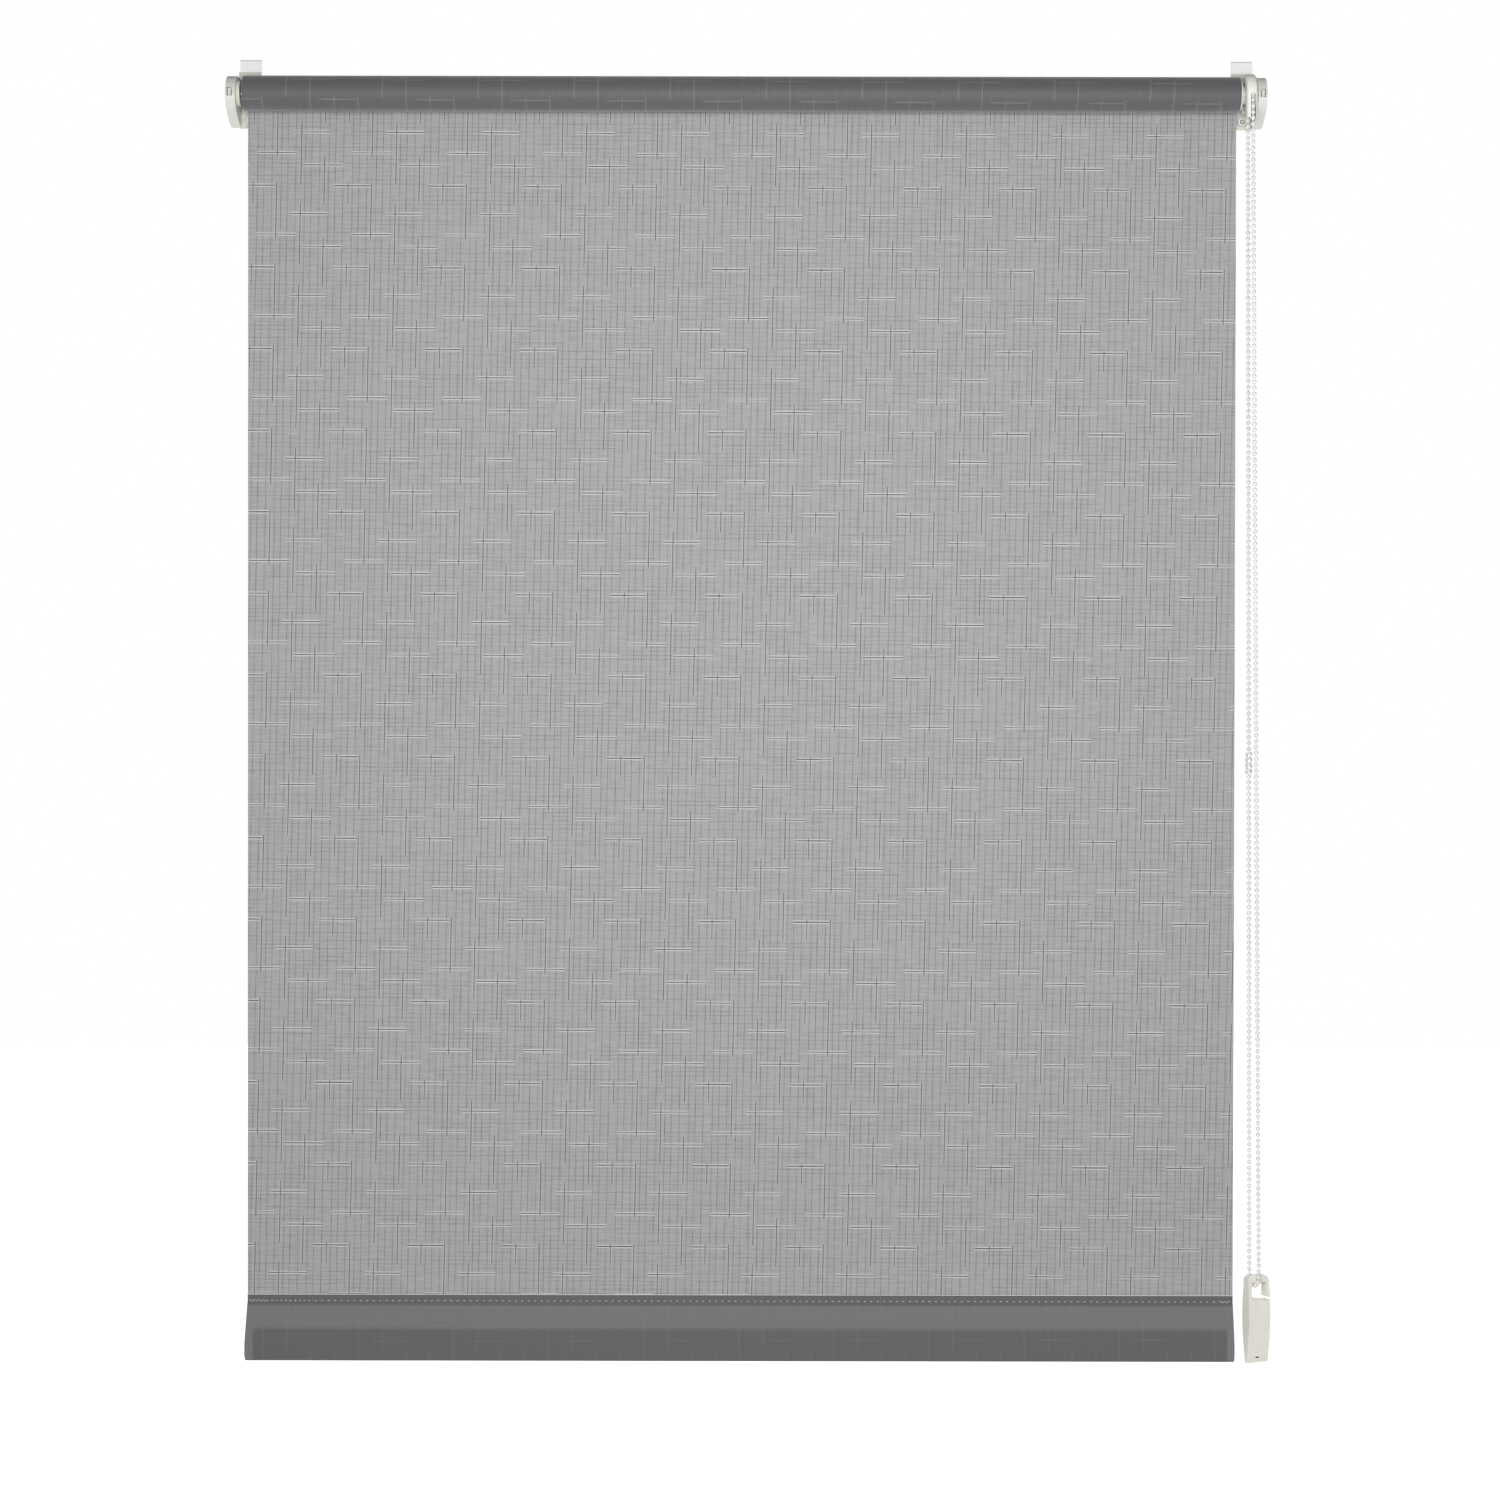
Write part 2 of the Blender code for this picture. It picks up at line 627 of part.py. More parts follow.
def chain_route():
    """The bead chain's line, from the top of the connector over the wheel and back to its foot."""
    sine, cosine = math.sin(WEIGHT_TURN), math.cos(WEIGHT_TURN)
    rear_top = Vector((CHAIN_X, AXIS_Y + PITCH_R, AXIS_Z))
    front_top = Vector((CHAIN_X, AXIS_Y - PITCH_R, AXIS_Z))
    middle = Vector((WEIGHT_X, AXIS_Y, WEIGHT_Z))
    rear_low = middle + LOOP_R * Vector((-sine, cosine, 0))
    front_low = middle + LOOP_R * Vector((sine, -cosine, 0))
    share = (CONNECTOR_Z - AXIS_Z) / (WEIGHT_Z - AXIS_Z)
    joint = rear_top.lerp(rear_low, share)
    up = (rear_top - rear_low).normalized()
    reach = CONNECTOR_LONG / 2 + GAP
    points = [joint + reach * up]
    for i in range(1, 6):
        points.append(points[0].lerp(rear_top, i / 6))
    for i in range(0, 21):
        angle = math.pi * i / 20
        y = AXIS_Y + PITCH_R * math.cos(angle)
        points.append(Vector((CHAIN_X, y, AXIS_Z + PITCH_R * math.sin(angle))))
    for i in range(1, 10):
        points.append(front_top.lerp(front_low, i / 10))
    for i in range(0, 17):
        angle = math.pi * i / 16
        flat = front_low.lerp(rear_low, (1 - math.cos(angle)) / 2)
        points.append(flat - Vector((0, 0, LOOP_R * math.sin(angle))))
    last = joint - reach * up
    for i in range(1, 7):
        points.append(rear_low.lerp(last, i / 6))
    return points, joint, up


def chain():
    points, joint, up = chain_route()
    tube_along("chain", points, BEAD_R, "white", resolution=2)
    half = CONNECTOR_LONG / 2
    line = [(-half, 0.0)]
    for i in range(33):
        along = -half + CONNECTOR_LONG * i / 32
        lobe = abs(math.cos(math.pi * (along + 9.0) / 6.0))
        end = max(0.0, 1 - ((abs(along) - half + 2.0) / 2.0) ** 2) if abs(along) > half - 2.0 else 1.0
        line.append((along, (2.2 + 1.3 * lobe) * (0.45 + 0.55 * math.sqrt(end))))
    line.append((half, 0.0))
    clip = turned("chain_connector", line, (0, 0, 0), "Z", "clear", 24)
    lean = Vector((0, 0, 1)).rotation_difference(up).to_matrix().to_4x4()
    clip.data.transform(Matrix.Translation(joint) @ lean)


def to_metres():
    """Everything above is built in millimetres. This scales each object's data, cords included."""
    for obj in bpy.data.objects:
        obj.data.transform(Matrix.Scale(MM, 4))


clear_scene()
roller()
bracket("bracket_left", -1, CAP_LEFT_INNER - PLATE_TO_CAP, IDLE_PIN_BORE_R)
bracket("bracket_right", 1, CAP_RIGHT_INNER + 0.2, AXLE_SCREW_BORE_R)
end_cap("end_cap_left", CAP_LEFT_OUTER, CAP_LEFT_INNER)
end_cap("end_cap_right", CAP_RIGHT_OUTER, CAP_RIGHT_INNER)
clamp("left", -1)
clamp("right", 1)
clutch()
cloth()
chain()
chain_weight()
to_metres()
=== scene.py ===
"""The looks of a clamp-on roller blind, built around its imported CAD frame.

+X runs to the chain side, +Y into the window sash and +Z up. Shapes are worked out in millimetres, and
each mesh is scaled to the frame's metres when it is made.
"""

import json
import math

import bmesh
import bpy
from mathutils import Matrix, Vector, noise


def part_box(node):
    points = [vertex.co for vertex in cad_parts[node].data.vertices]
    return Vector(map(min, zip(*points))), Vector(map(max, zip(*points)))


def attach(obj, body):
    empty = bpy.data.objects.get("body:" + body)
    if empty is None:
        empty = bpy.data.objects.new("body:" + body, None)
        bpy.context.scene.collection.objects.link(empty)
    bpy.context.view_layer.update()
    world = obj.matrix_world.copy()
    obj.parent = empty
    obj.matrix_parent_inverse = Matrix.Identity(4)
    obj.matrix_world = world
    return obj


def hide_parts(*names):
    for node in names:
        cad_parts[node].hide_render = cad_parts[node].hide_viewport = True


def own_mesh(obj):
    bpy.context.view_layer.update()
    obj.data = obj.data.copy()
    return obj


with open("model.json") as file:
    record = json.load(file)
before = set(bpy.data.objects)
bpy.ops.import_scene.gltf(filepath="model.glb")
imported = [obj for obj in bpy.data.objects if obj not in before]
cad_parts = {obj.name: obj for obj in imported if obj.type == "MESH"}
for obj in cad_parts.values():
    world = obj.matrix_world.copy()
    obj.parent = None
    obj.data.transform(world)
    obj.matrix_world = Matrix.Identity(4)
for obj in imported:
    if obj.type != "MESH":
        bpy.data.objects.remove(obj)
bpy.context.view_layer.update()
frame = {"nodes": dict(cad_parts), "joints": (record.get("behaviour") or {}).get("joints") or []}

MM = 0.001
JOINTS = {joint["name"]: joint for joint in frame["joints"]}
AXIS = Vector(JOINTS["roller_spin"]["pos_m"]) / MM


def box_of(node):
    """The lowest and highest corner of a CAD node, in millimetres."""
    low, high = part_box(node)
    return low / MM, high / MM


SHEET_LOW, SHEET_HIGH = box_of("fabric_sheet")
HEM_LOW, HEM_HIGH = box_of("hem")
ROLL_LOW, ROLL_HIGH = box_of("fabric_roll")
BAR_LOW, BAR_HIGH = box_of("bottom_bar")
CLOTH = SHEET_HIGH.y - SHEET_LOW.y
SHEET_MIDDLE = (SHEET_HIGH.y + SHEET_LOW.y) / 2

# The bead chain, as the CAD source has it
CHAIN_X = 507.2
BEAD_R = 2.25
BEAD_PITCH = 6.0
THREAD_R = 0.62
PITCH_R = 15.38
WEIGHT_PLACE = Vector(JOINTS["weight_swing"]["pos_m"]) / MM
WEIGHT_TURN = math.radians(23.0)
LOOP_R = 8.7
CONNECTOR_Z = -710.0
CONNECTOR_LONG = 22.5

# The cloth's woven figure. Its tile repeats across and down; a part is (middle across, middle down,
# half its width, half its height), from the top of the tile's first upright line. Three dark threads
# run down between every two lanes of uprights.
TILE_WIDE = 96.13
TILE_TALL = 82.6
LANE = TILE_WIDE / 4
YARN = 0.42
DARK_THREADS = (4.2, 10.7, 18.8)
FIGURE_X = -171.1
FIGURE_Z = -558.8
LEAN = math.tan(math.radians(1.13))
SLOPE = math.tan(math.radians(0.23))
UPRIGHTS = [
    (0.0, 31.4, 0.5, 31.4),
    (23.8, 59.5, 0.5, 24.0),
    (47.9, 72.7, 0.45, 10.7),
    (71.7, 90.5, 0.5, 28.4),
]
LEVELS = [
    (9.2, 10.8, 19.0, 0.45),
    (22.9, 44.1, 20.4, 0.45),
    (51.8, 65.0, 18.4, 0.55),
    (71.8, 31.7, 20.3, 0.4),
]


# ---------------------------------------------------------------- meshes


def add_mesh(name, bm, looks, smooth_angle=35.0):
    """Makes an object of a bmesh in millimetres, with the looks in its material slots."""
    bmesh.ops.recalc_face_normals(bm, faces=bm.faces)
    mesh = bpy.data.meshes.new(name)
    bm.to_mesh(mesh)
    bm.free()
    mesh.transform(Matrix.Scale(MM, 4))
    obj = bpy.data.objects.new(name, mesh)
    bpy.context.scene.collection.objects.link(obj)
    mesh.shade_smooth()
    mesh.set_sharp_from_angle(angle=math.radians(smooth_angle))
    for look in looks:
        mesh.materials.append(look)
    return obj


def combine(target, other, operation):
    """Adds the other object to the target, cuts it away or keeps what they share, and removes it."""
    modifier = target.modifiers.new("combine", "BOOLEAN")
    modifier.operation = operation
    modifier.object = other
    modifier.solver = "EXACT"
    graph = bpy.context.evaluated_depsgraph_get()
    made = bpy.data.meshes.new_from_object(target.evaluated_get(graph))
    target.modifiers.clear()
    target.data = made
    bpy.data.objects.remove(other, do_unlink=True)


def soften(obj, width, segments=3, angle=40.0):
    """Rounds the object's edges, as moulding or tumbling leaves them."""
    weld = obj.modifiers.new("weld", "WELD")
    weld.merge_threshold = 0.00001
    bevel = obj.modifiers.new("edges", "BEVEL")
    bevel.width = width * MM
    bevel.segments = segments
    bevel.limit_method = "ANGLE"
    bevel.angle_limit = math.radians(angle)
    bevel.harden_normals = True
    return obj


def prism(name, outline, low, high, axis, looks=()):
    """A prism of a closed outline, whose two coordinates are the other two axes in X, Y, Z order."""
    bm = bmesh.new()
    slot = "XYZ".index(axis)
    rings = []
    for at in (low, high):
        rings.append([bm.verts.new((*point[:slot], at, *point[slot:])) for point in outline])
    bm.faces.new(rings[0])
    bm.faces.new(rings[1])
    count = len(outline)
    for i in range(count):
        j = (i + 1) % count
        bm.faces.new((rings[0][i], rings[0][j], rings[1][j], rings[1][i]))
    return add_mesh(name, bm, looks)


def block(name, low, high, looks=()):
    outline = [(low[0], low[1]), (high[0], low[1]), (high[0], high[1]), (low[0], high[1])]
    return prism(name, outline, low[2], high[2], "Z", looks)


def rounded(half_wide, low, high, radius, steps=6):
    """A rectangle with rounded corners about 0, as closed outline points."""
    points = []
    corners = [
        (half_wide - radius, high - radius, 0),
        (-half_wide + radius, high - radius, 90),
        (-half_wide + radius, low + radius, 180),
        (half_wide - radius, low + radius, 270),
    ]
    for across, up, start in corners:
        for step in range(steps + 1):
            angle = math.radians(start + 90 * step / steps)
            points.append((across + radius * math.cos(angle), up + radius * math.sin(angle)))
    return points


def smooth_line(points, steps):
    """A Catmull-Rom curve through the points."""
    made = []
    for i in range(len(points) - 1):
        before = Vector(points[max(i - 1, 0)])
        a, b = Vector(points[i]), Vector(points[i + 1])
        after = Vector(points[min(i + 2, len(points) - 1)])
        for step in range(steps):
            t = step / steps
            place = 2 * a + (b - before) * t + (2 * before - 5 * a + 4 * b - after) * t**2
            place += (3 * a - before - 3 * b + after) * t**3
            made.append(place / 2)
    made.append(Vector(points[-1]))
    return made


def band(name, line, low, high, thick, columns, looks, sway=None):
    """A band of cloth or sheet metal, from low to high along X.

    The line is its middle as (y, z) points. The first look is for the side on the line's left, the
    second for its right and the third for the cut edges. Its UV map holds metres across and along.
    """
    bm = bmesh.new()
    uv = bm.loops.layers.uv.new("cloth")
    line = [Vector(point) for point in line]
    along = [0.0]
    for a, b in zip(line, line[1:]):
        along.append(along[-1] + (b - a).length)
    sides = ([], [])
    for i, point in enumerate(line):
        way = (line[min(i + 1, len(line) - 1)] - line[max(i - 1, 0)]).normalized()
        left = Vector((-way.y, way.x))
        for grid, reach in zip(sides, (thick / 2, -thick / 2)):
            row = []
            for column in range(columns + 1):
                x = low + (high - low) * column / columns
                y, z = point + reach * left
                if sway:
                    aside, out = sway(x, z)
                    x, y = x + aside, y + out
                row.append(bm.verts.new((x, y, z)))
            grid.append(row)

    def face(corners, look):
        made = bm.faces.new([vert for vert, _ in corners])
        made.material_index = look
        for loop, (_, place) in zip(made.loops, corners):
            loop[uv].uv = place

    rows = len(line)

    def corner(side, i, j):
        return sides[side][i][j], ((low + (high - low) * j / columns) * MM, along[i] * MM)

    for side in (0, 1):
        for i in range(rows - 1):
            for j in range(columns):
                ring = [(i, j), (i, j + 1), (i + 1, j + 1), (i + 1, j)]
                face([corner(side, *place) for place in ring], side)
    rim = [(0, j) for j in range(columns)] + [(i, columns) for i in range(rows - 1)]
    rim += [(rows - 1, j) for j in range(columns, 0, -1)] + [(i, 0) for i in range(rows - 1, 0, -1)]
    for here, there in zip(rim, rim[1:] + rim[:1]):
        face([corner(0, *here), corner(0, *there), corner(1, *there), corner(1, *here)], 2)
    return add_mesh(name, bm, looks, 50.0)


def swept(name, points, radii, looks, sides=10, flat=1.0):
    """A tube along the points, with its own radius at each. flat narrows it along its second normal."""
    bm = bmesh.new()
    normal = (points[1] - points[0]).orthogonal().normalized()
    rings = []
    for i, (point, radius) in enumerate(zip(points, radii)):
        way = (points[min(i + 1, len(points) - 1)] - points[max(i - 1, 0)]).normalized()
        normal = (normal - normal.dot(way) * way).normalized()
        other = way.cross(normal)
        ring = []
        for side in range(sides):
            angle = 2 * math.pi * side / sides
            reach = math.cos(angle) * normal + flat * math.sin(angle) * other
            ring.append(bm.verts.new(point + radius * reach))
        rings.append(ring)
    for here, there in zip(rings, rings[1:]):
        for side in range(sides):
            after = (side + 1) % sides
            bm.faces.new((here[side], here[after], there[after], there[side]))
    bm.faces.new(rings[0])
    bm.faces.new(rings[-1])
    return add_mesh(name, bm, looks, 60.0)


def turned(name, profile, centre, looks, sides=64, axis="X"):
    """A solid of revolution of a closed profile of (distance along the axis, radius) pairs."""
    bm = bmesh.new()
    along = {"X": Vector((1, 0, 0)), "Y": Vector((0, 1, 0)), "Z": Vector((0, 0, 1))}[axis]
    first = along.orthogonal().normalized()
    second = along.cross(first)
    rings = []
    for s in range(sides):
        angle = 2 * math.pi * s / sides
        out = math.cos(angle) * first + math.sin(angle) * second
        rings.append([bm.verts.new(Vector(centre) + d * along + r * out) for d, r in profile])
    for s in range(sides):
        here, there = rings[s], rings[(s + 1) % sides]
        for i in range(len(profile)):
            j = (i + 1) % len(profile)
            bm.faces.new((here[i], here[j], there[j], there[i]))
    bmesh.ops.remove_doubles(bm, verts=bm.verts, dist=1e-5)
    return add_mesh(name, bm, looks)


# ---------------------------------------------------------------- materials


class Look:
    """One material. Its methods add shader nodes, so that a formula reads as one."""

    def __init__(self, name):
        self.material = bpy.data.materials.new(name)
        self.material.use_nodes = True
        self.tree = self.material.node_tree
        self.shader = self.tree.nodes["Principled BSDF"]

    def node(self, kind, values=(), out=0, **settings):
        made = self.tree.nodes.new("ShaderNode" + kind)
        for key, value in settings.items():
            setattr(made, key, value)
        for slot, value in enumerate(values) if isinstance(values, tuple) else values.items():
            self.put(made.inputs[slot], value)
        return made.outputs[out]

    def put(self, socket, value):
        if isinstance(value, bpy.types.NodeSocket):
            self.tree.links.new(value, socket)
        elif value is not None:
            socket.default_value = value

    def set(self, **values):
        for name, value in values.items():
            self.put(self.shader.inputs[name.replace("_", " ")], value)

    def math(self, operation, *values, clamp=False):
        return self.node("Math", values, operation=operation, use_clamp=clamp)

    def vector(self, operation, *values):
        return self.node("VectorMath", values, operation=operation)

    def place(self, source="Object"):
        """The point on the piece, or on its UV map, in millimetres."""
        point = self.node("TexCoord", out=source)
        return self.node("VectorMath", {0: point, 3: 1 / MM}, operation="SCALE")

    def split(self, vector):
        parts = self.tree.nodes.new("ShaderNodeSeparateXYZ")
        self.put(parts.inputs[0], vector)
        return parts.outputs[0], parts.outputs[1], parts.outputs[2]

    def noise(self, vector, scale, detail=2.0, stretch=(1, 1, 1)):
        where = self.vector("MULTIPLY", vector, tuple(scale * s for s in stretch))
        return self.node("TexNoise", {"Vector": where, "Scale": 1.0, "Detail": detail})

    def mix(self, share, first, second):
        made = self.tree.nodes.new("ShaderNodeMix")
        made.data_type = "RGBA"
        self.put(made.inputs["Factor"], share)
        self.put(made.inputs[6], first)
        self.put(made.inputs[7], second)
        return made.outputs[2]

    def tint(self, colour, value):
        """The colour times a value."""
        grey = self.node("CombineColor", (value, value, value))
        made = self.tree.nodes.new("ShaderNodeMix")
        made.data_type = "RGBA"
        made.blend_type = "MULTIPLY"
        self.put(made.inputs["Factor"], 1.0)
        self.put(made.inputs[6], colour)
        self.put(made.inputs[7], grey)
        return made.outputs[2]

    def between(self, value, low, high, out_low=0.0, out_high=1.0):
        """The value carried from low..high to out_low..out_high, and held there."""
        names = {"Value": value, "From Min": low, "From Max": high}
        return self.node("MapRange", {**names, "To Min": out_low, "To Max": out_high}, clamp=True)

    def bump(self, height, distance, strength=1.0):
        values = {"Height": height, "Distance": distance * MM, "Strength": strength}
        self.set(Normal=self.node("Bump", values))


def linear(red, green, blue):
    """A colour given in the 0 to 255 steps of a screen, as the shader takes it."""
    steps = [channel / 255 for channel in (red, green, blue)]
    return (*[s / 12.92 if s <= 0.04045 else ((s + 0.055) / 1.055) ** 2.4 for s in steps], 1.0)


def plastic(name, colour, roughness=0.4, grain=0.035):
    """Moulded plastic: faint flow marks and a fine spark-eroded grain."""
    look = Look(name)
    place = look.place()
    flow = look.noise(place, 0.05, 3.0, (1, 1, 0.35))
    fine = look.noise(place, 2.6, 2.0)
    streaks = look.between(flow, 0.3, 0.7, 0.955, 1.02)
    shade = look.math("ADD", streaks, look.between(fine, 0.3, 0.7, -0.012, 0.012))
    dull = look.between(flow, 0.3, 0.7, roughness - 0.05, roughness + 0.08)
    look.set(Base_Color=look.tint(colour, shade), Roughness=dull, Specular_IOR_Level=0.4)
    look.bump(fine, grain)
    return look.material


def clear_plastic(name, colour):
    """Cloudy clear plastic, as chain connectors are made of."""
    look = Look(name)
    place = look.place()
    cloud = look.noise(place, 0.5, 3.0)
    look.set(Base_Color=look.tint(colour, look.between(cloud, 0.3, 0.7, 0.94, 1.0)))
    look.set(Roughness=look.between(cloud, 0.3, 0.7, 0.16, 0.28), Transmission_Weight=0.45, IOR=1.46)
    look.bump(cloud, 0.05)
    return look.material


def metal(name, colour, roughness, brushed=(1, 1, 1), grain=0.01):
    """Bare metal with fine drawn or tumbled marks and duller patches."""
    look = Look(name)
    place = look.place()
    marks = look.noise(place, 3.0, 4.0, brushed)
    patch = look.noise(place, 0.12, 3.0)
    drawn = look.between(marks, 0.3, 0.7, 0.9, 1.06)
    shade = look.math("MULTIPLY", drawn, look.between(patch, 0.3, 0.7, 0.92, 1.03))
    dull = look.between(patch, 0.3, 0.7, roughness - 0.06, roughness + 0.1)
    dull = look.math("ADD", dull, look.between(marks, 0.3, 0.7, -0.04, 0.04))
    look.set(Base_Color=look.tint(colour, shade), Metallic=1.0, Roughness=dull)
    look.bump(marks, grain)
    return look.material


def rubber(name, colour):
    """Dark rubber or soft plastic with lighter dust on it."""
    look = Look(name)
    place = look.place()
    grain = look.noise(place, 3.5, 3.0)
    dust = look.noise(place, 0.3, 3.0)
    look.set(Base_Color=look.tint(colour, look.between(dust, 0.3, 0.7, 0.8, 1.35)))
    look.set(Roughness=look.between(dust, 0.3, 0.7, 0.62, 0.85))
    look.bump(grain, 0.08)
    return look.material


def figure(look, across, down):
    """The woven figure as (uprights, levels, light threads beside them), each 0 to 1."""
    where = look.node("CombineXYZ", (across, down, 0.0))
    tile = (TILE_WIDE, TILE_TALL, 1.0)
    half = tuple(size / 2 for size in tile)

    def distance(part, grow_x, grow_y, soft):
        middle_x, middle_y, half_x, half_y = part
        away = look.vector("SUBTRACT", where, (middle_x, middle_y, 0.0))
        away = look.vector("WRAP", away, half, tuple(-h for h in half))
        away = look.vector("ABSOLUTE", away)
        inside = look.vector("SUBTRACT", (half_x + grow_x, half_y + grow_y, 0.0), away)
        x, y, _ = look.split(inside)
        return look.between(look.math("MINIMUM", x, y), -soft, soft)

    def total(parts, grow_x, grow_y, soft):
        found = distance(parts[0], grow_x, grow_y, soft)
        for part in parts[1:]:
            found = look.math("MAXIMUM", found, distance(part, grow_x, grow_y, soft))
        return found

    uprights = total(UPRIGHTS, 0.0, 0.0, 0.3)
    levels = total(LEVELS, 0.0, 0.15, 0.3)
    beside = look.math("MULTIPLY", total(UPRIGHTS, 0.9, 0.0, 0.4), 0.35)
    return uprights, levels, look.math("MAXIMUM", beside, total(LEVELS, 0.0, 1.1, 0.4))


def dark_threads(look, across):
    """The dark threads between the lanes of uprights, 0 to 1."""
    place = look.math("FLOORED_MODULO", across, LANE)
    nearest = None
    for thread in DARK_THREADS:
        away = look.math("ABSOLUTE", look.math("SUBTRACT", place, thread))
        nearest = away if nearest is None else look.math("MINIMUM", nearest, away)
    return look.between(nearest, 0.2, 0.6, 1.0, 0.0)


def threads(look, across, along, pitch, length, share):
    """Odd darker threads: one in a share of the pitches, each a few lengths long."""
    lane = look.math("FLOOR", look.math("DIVIDE", across, pitch))
    start = look.node("TexWhiteNoise", {"W": lane}, noise_dimensions="1D")
    run = look.math("MULTIPLY_ADD", start, 9.0, look.math("DIVIDE", along, length))
    cell = look.node("CombineXYZ", (lane, look.math("FLOOR", run), 0.0))
    chance = look.node("TexWhiteNoise", {"Vector": cell}, noise_dimensions="2D")
    there = look.between(chance, 1.0 - share, 1.0, 0.0, 1.0)
    within = look.math("FRACT", look.math("DIVIDE", across, pitch))
    off = look.math("ABSOLUTE", look.math("SUBTRACT", within, 0.5))
    line = look.between(off, 0.2 / pitch, 0.6 / pitch, 1.0, 0.0)
    return look.math("MULTIPLY", there, line)


def cloth(name, base, dark, light, strength, source, lit=None, shine=0.0):
    """The jacquard cloth. Its front is light with dark figure lines, and its back the other way round.

    lit is a function that says where light would come through it, as a share of 0 to 1; there the
    colour is painted lighter, as painted light. shine goes from matt at 0 to the soft gleam of tightly
    wound cloth at 1.
    """
    look = Look(name)
    if source == "Object":
        x, _, z = look.split(look.place())
        depth = look.math("MULTIPLY_ADD", z, -1.0, FIGURE_Z)
    else:
        x, depth, _ = look.split(look.place("UV"))
    across = look.math("ADD", x, look.math("MULTIPLY_ADD", depth, LEAN, -FIGURE_X))
    down = look.math("ADD", depth, look.math("MULTIPLY_ADD", x, -SLOPE, FIGURE_X * SLOPE))
    flat = look.node("CombineXYZ", (across, down, 0.0))
    uprights, levels, halo = figure(look, across, down)
    faded = look.between(look.noise(flat, 0.03, 2.0), 0.35, 0.65, 0.6, 1.2)
    worn = look.between(look.noise(flat, 1.0, 2.0, (0.4, 0.035, 1)), 0.3, 0.7, 0.45, 1.25)
    slub = look.noise(flat, 1.0, 3.0, (0.06, 0.7, 1))
    speck = look.noise(flat, 1.0, 1.0, (0.9, 0.9, 1))
    tone = look.between(slub, 0.3, 0.7, 1.0 - 0.08 * strength, 1.0 + 0.09 * strength)
    tone = look.math("MULTIPLY", tone, look.between(speck, 0.25, 0.75, 0.95, 1.05))
    for share, value in (
        (0.38, look.math("MULTIPLY", dark_threads(look, across), worn)),
        (0.24, threads(look, down, across, 4.1, 60.0, 0.85)),
        (0.14, threads(look, across, down, 2.6, 23.0, 0.45)),
    ):
        tone = look.math("MULTIPLY_ADD", value, -share * strength, tone)
    if lit:
        # Painted light: the colour is lightened where light would come through the cloth.
        tone = look.math("MULTIPLY", tone, look.math("MULTIPLY_ADD", lit(look), 0.42, 1.0))
    colour = look.tint(base, tone)
    beside = look.math("MULTIPLY", halo, look.math("MULTIPLY", faded, 0.85 * strength), clamp=True)
    colour = look.mix(beside, colour, light)
    line = look.math("MAXIMUM", uprights, look.math("MULTIPLY", levels, faded))
    colour = look.mix(look.math("MULTIPLY", line, strength, clamp=True), colour, dark)
    warp = look.math("SINE", look.math("MULTIPLY", across, math.pi / YARN))
    weft = look.math("SINE", look.math("MULTIPLY", down, math.pi / YARN))
    weave = look.math("MULTIPLY", warp, weft)
    height = look.math("ADD", look.math("MULTIPLY", weave, 0.35), look.math("SUBTRACT", tone, line))
    look.set(Base_Color=colour, Roughness=look.math("MULTIPLY_ADD", worn, -0.42 * shine, 0.8))
    look.set(Specular_IOR_Level=0.25, Sheen_Weight=0.1 + 0.35 * shine, Sheen_Roughness=0.5)
    look.bump(height, 0.1, 0.6)
    return look.material


def painted_light_past_bar(look):
    """Painted light in the hem's colour, where light would come through it: over the bar, below its raw
    edge, and past the bar's ends.
    """
    x, _, z = look.split(look.place())
    above = look.between(z, BAR_HIGH.z + 1.0, BAR_HIGH.z + 5.6)
    left = look.between(x, BAR_LOW.x - 0.8, BAR_LOW.x + 0.8, 1.0, 0.0)
    right = look.between(x, BAR_HIGH.x - 0.8, BAR_HIGH.x + 0.8)
    open_parts = look.math("MAXIMUM", above, look.math("MAXIMUM", left, right))
    below_seam = look.between(z, HEM_HIGH.z - 11.5, HEM_HIGH.z - 9.5, 1.0, 0.0)
    return look.math("MULTIPLY", open_parts, below_seam)


def thread_look(name, colour):
    """Twisted thread."""
    look = Look(name)
    place = look.place()
    twist = look.noise(place, 4.0, 2.0, (0.6, 2.0, 2.0))
    look.set(Base_Color=look.tint(colour, look.between(twist, 0.3, 0.7, 0.8, 1.05)), Roughness=0.6)
    look.bump(twist, 0.08)
    return look.material


BACK_TONES = (linear(92, 92, 94), linear(150, 150, 152), linear(89, 89, 91))
HEM_TONES = (linear(97, 97, 99), linear(140, 140, 142), linear(94, 94, 96))
FRONT_TONES = (linear(160, 160, 161), linear(98, 98, 100), linear(205, 205, 206))
FRONT = cloth("cloth_front", *FRONT_TONES, 1.0, "Object")
FRONT_WOUND = cloth("cloth_front_wound", *FRONT_TONES, 1.0, "UV")
BACK = cloth("cloth_back", *BACK_TONES, 0.3, "UV", shine=0.85)
# The hem's back has painted light where light would come through it past the bar.
HEM_BACK = cloth("cloth_hem_back", *HEM_TONES, 0.15, "UV", painted_light_past_bar)
SHEET_BACK = cloth("cloth_sheet_back", *BACK_TONES, 0.35, "Object")
EDGE = thread_look("cloth_edge", linear(140, 138, 134))
STITCH = thread_look("stitch_thread", linear(226, 220, 216))
BRACKET = plastic("bracket_plastic", linear(208, 207, 197), 0.45)
CAP = plastic("cap_plastic", linear(213, 213, 207), 0.36, 0.02)
GUARD = plastic("guard_plastic", linear(236, 236, 229), 0.36, 0.02)
PLUG = plastic("plug_plastic", linear(222, 224, 221), 0.42)
CHAIN = plastic("chain_plastic", linear(232, 232, 230), 0.3, 0.004)
WEIGHT = plastic("weight_plastic", linear(233, 231, 222), 0.42, 0.03)
CLEAR = clear_plastic("connector_plastic", linear(240, 241, 238))
PAINTED = plastic("hook_paint", linear(238, 240, 239), 0.3, 0.015)
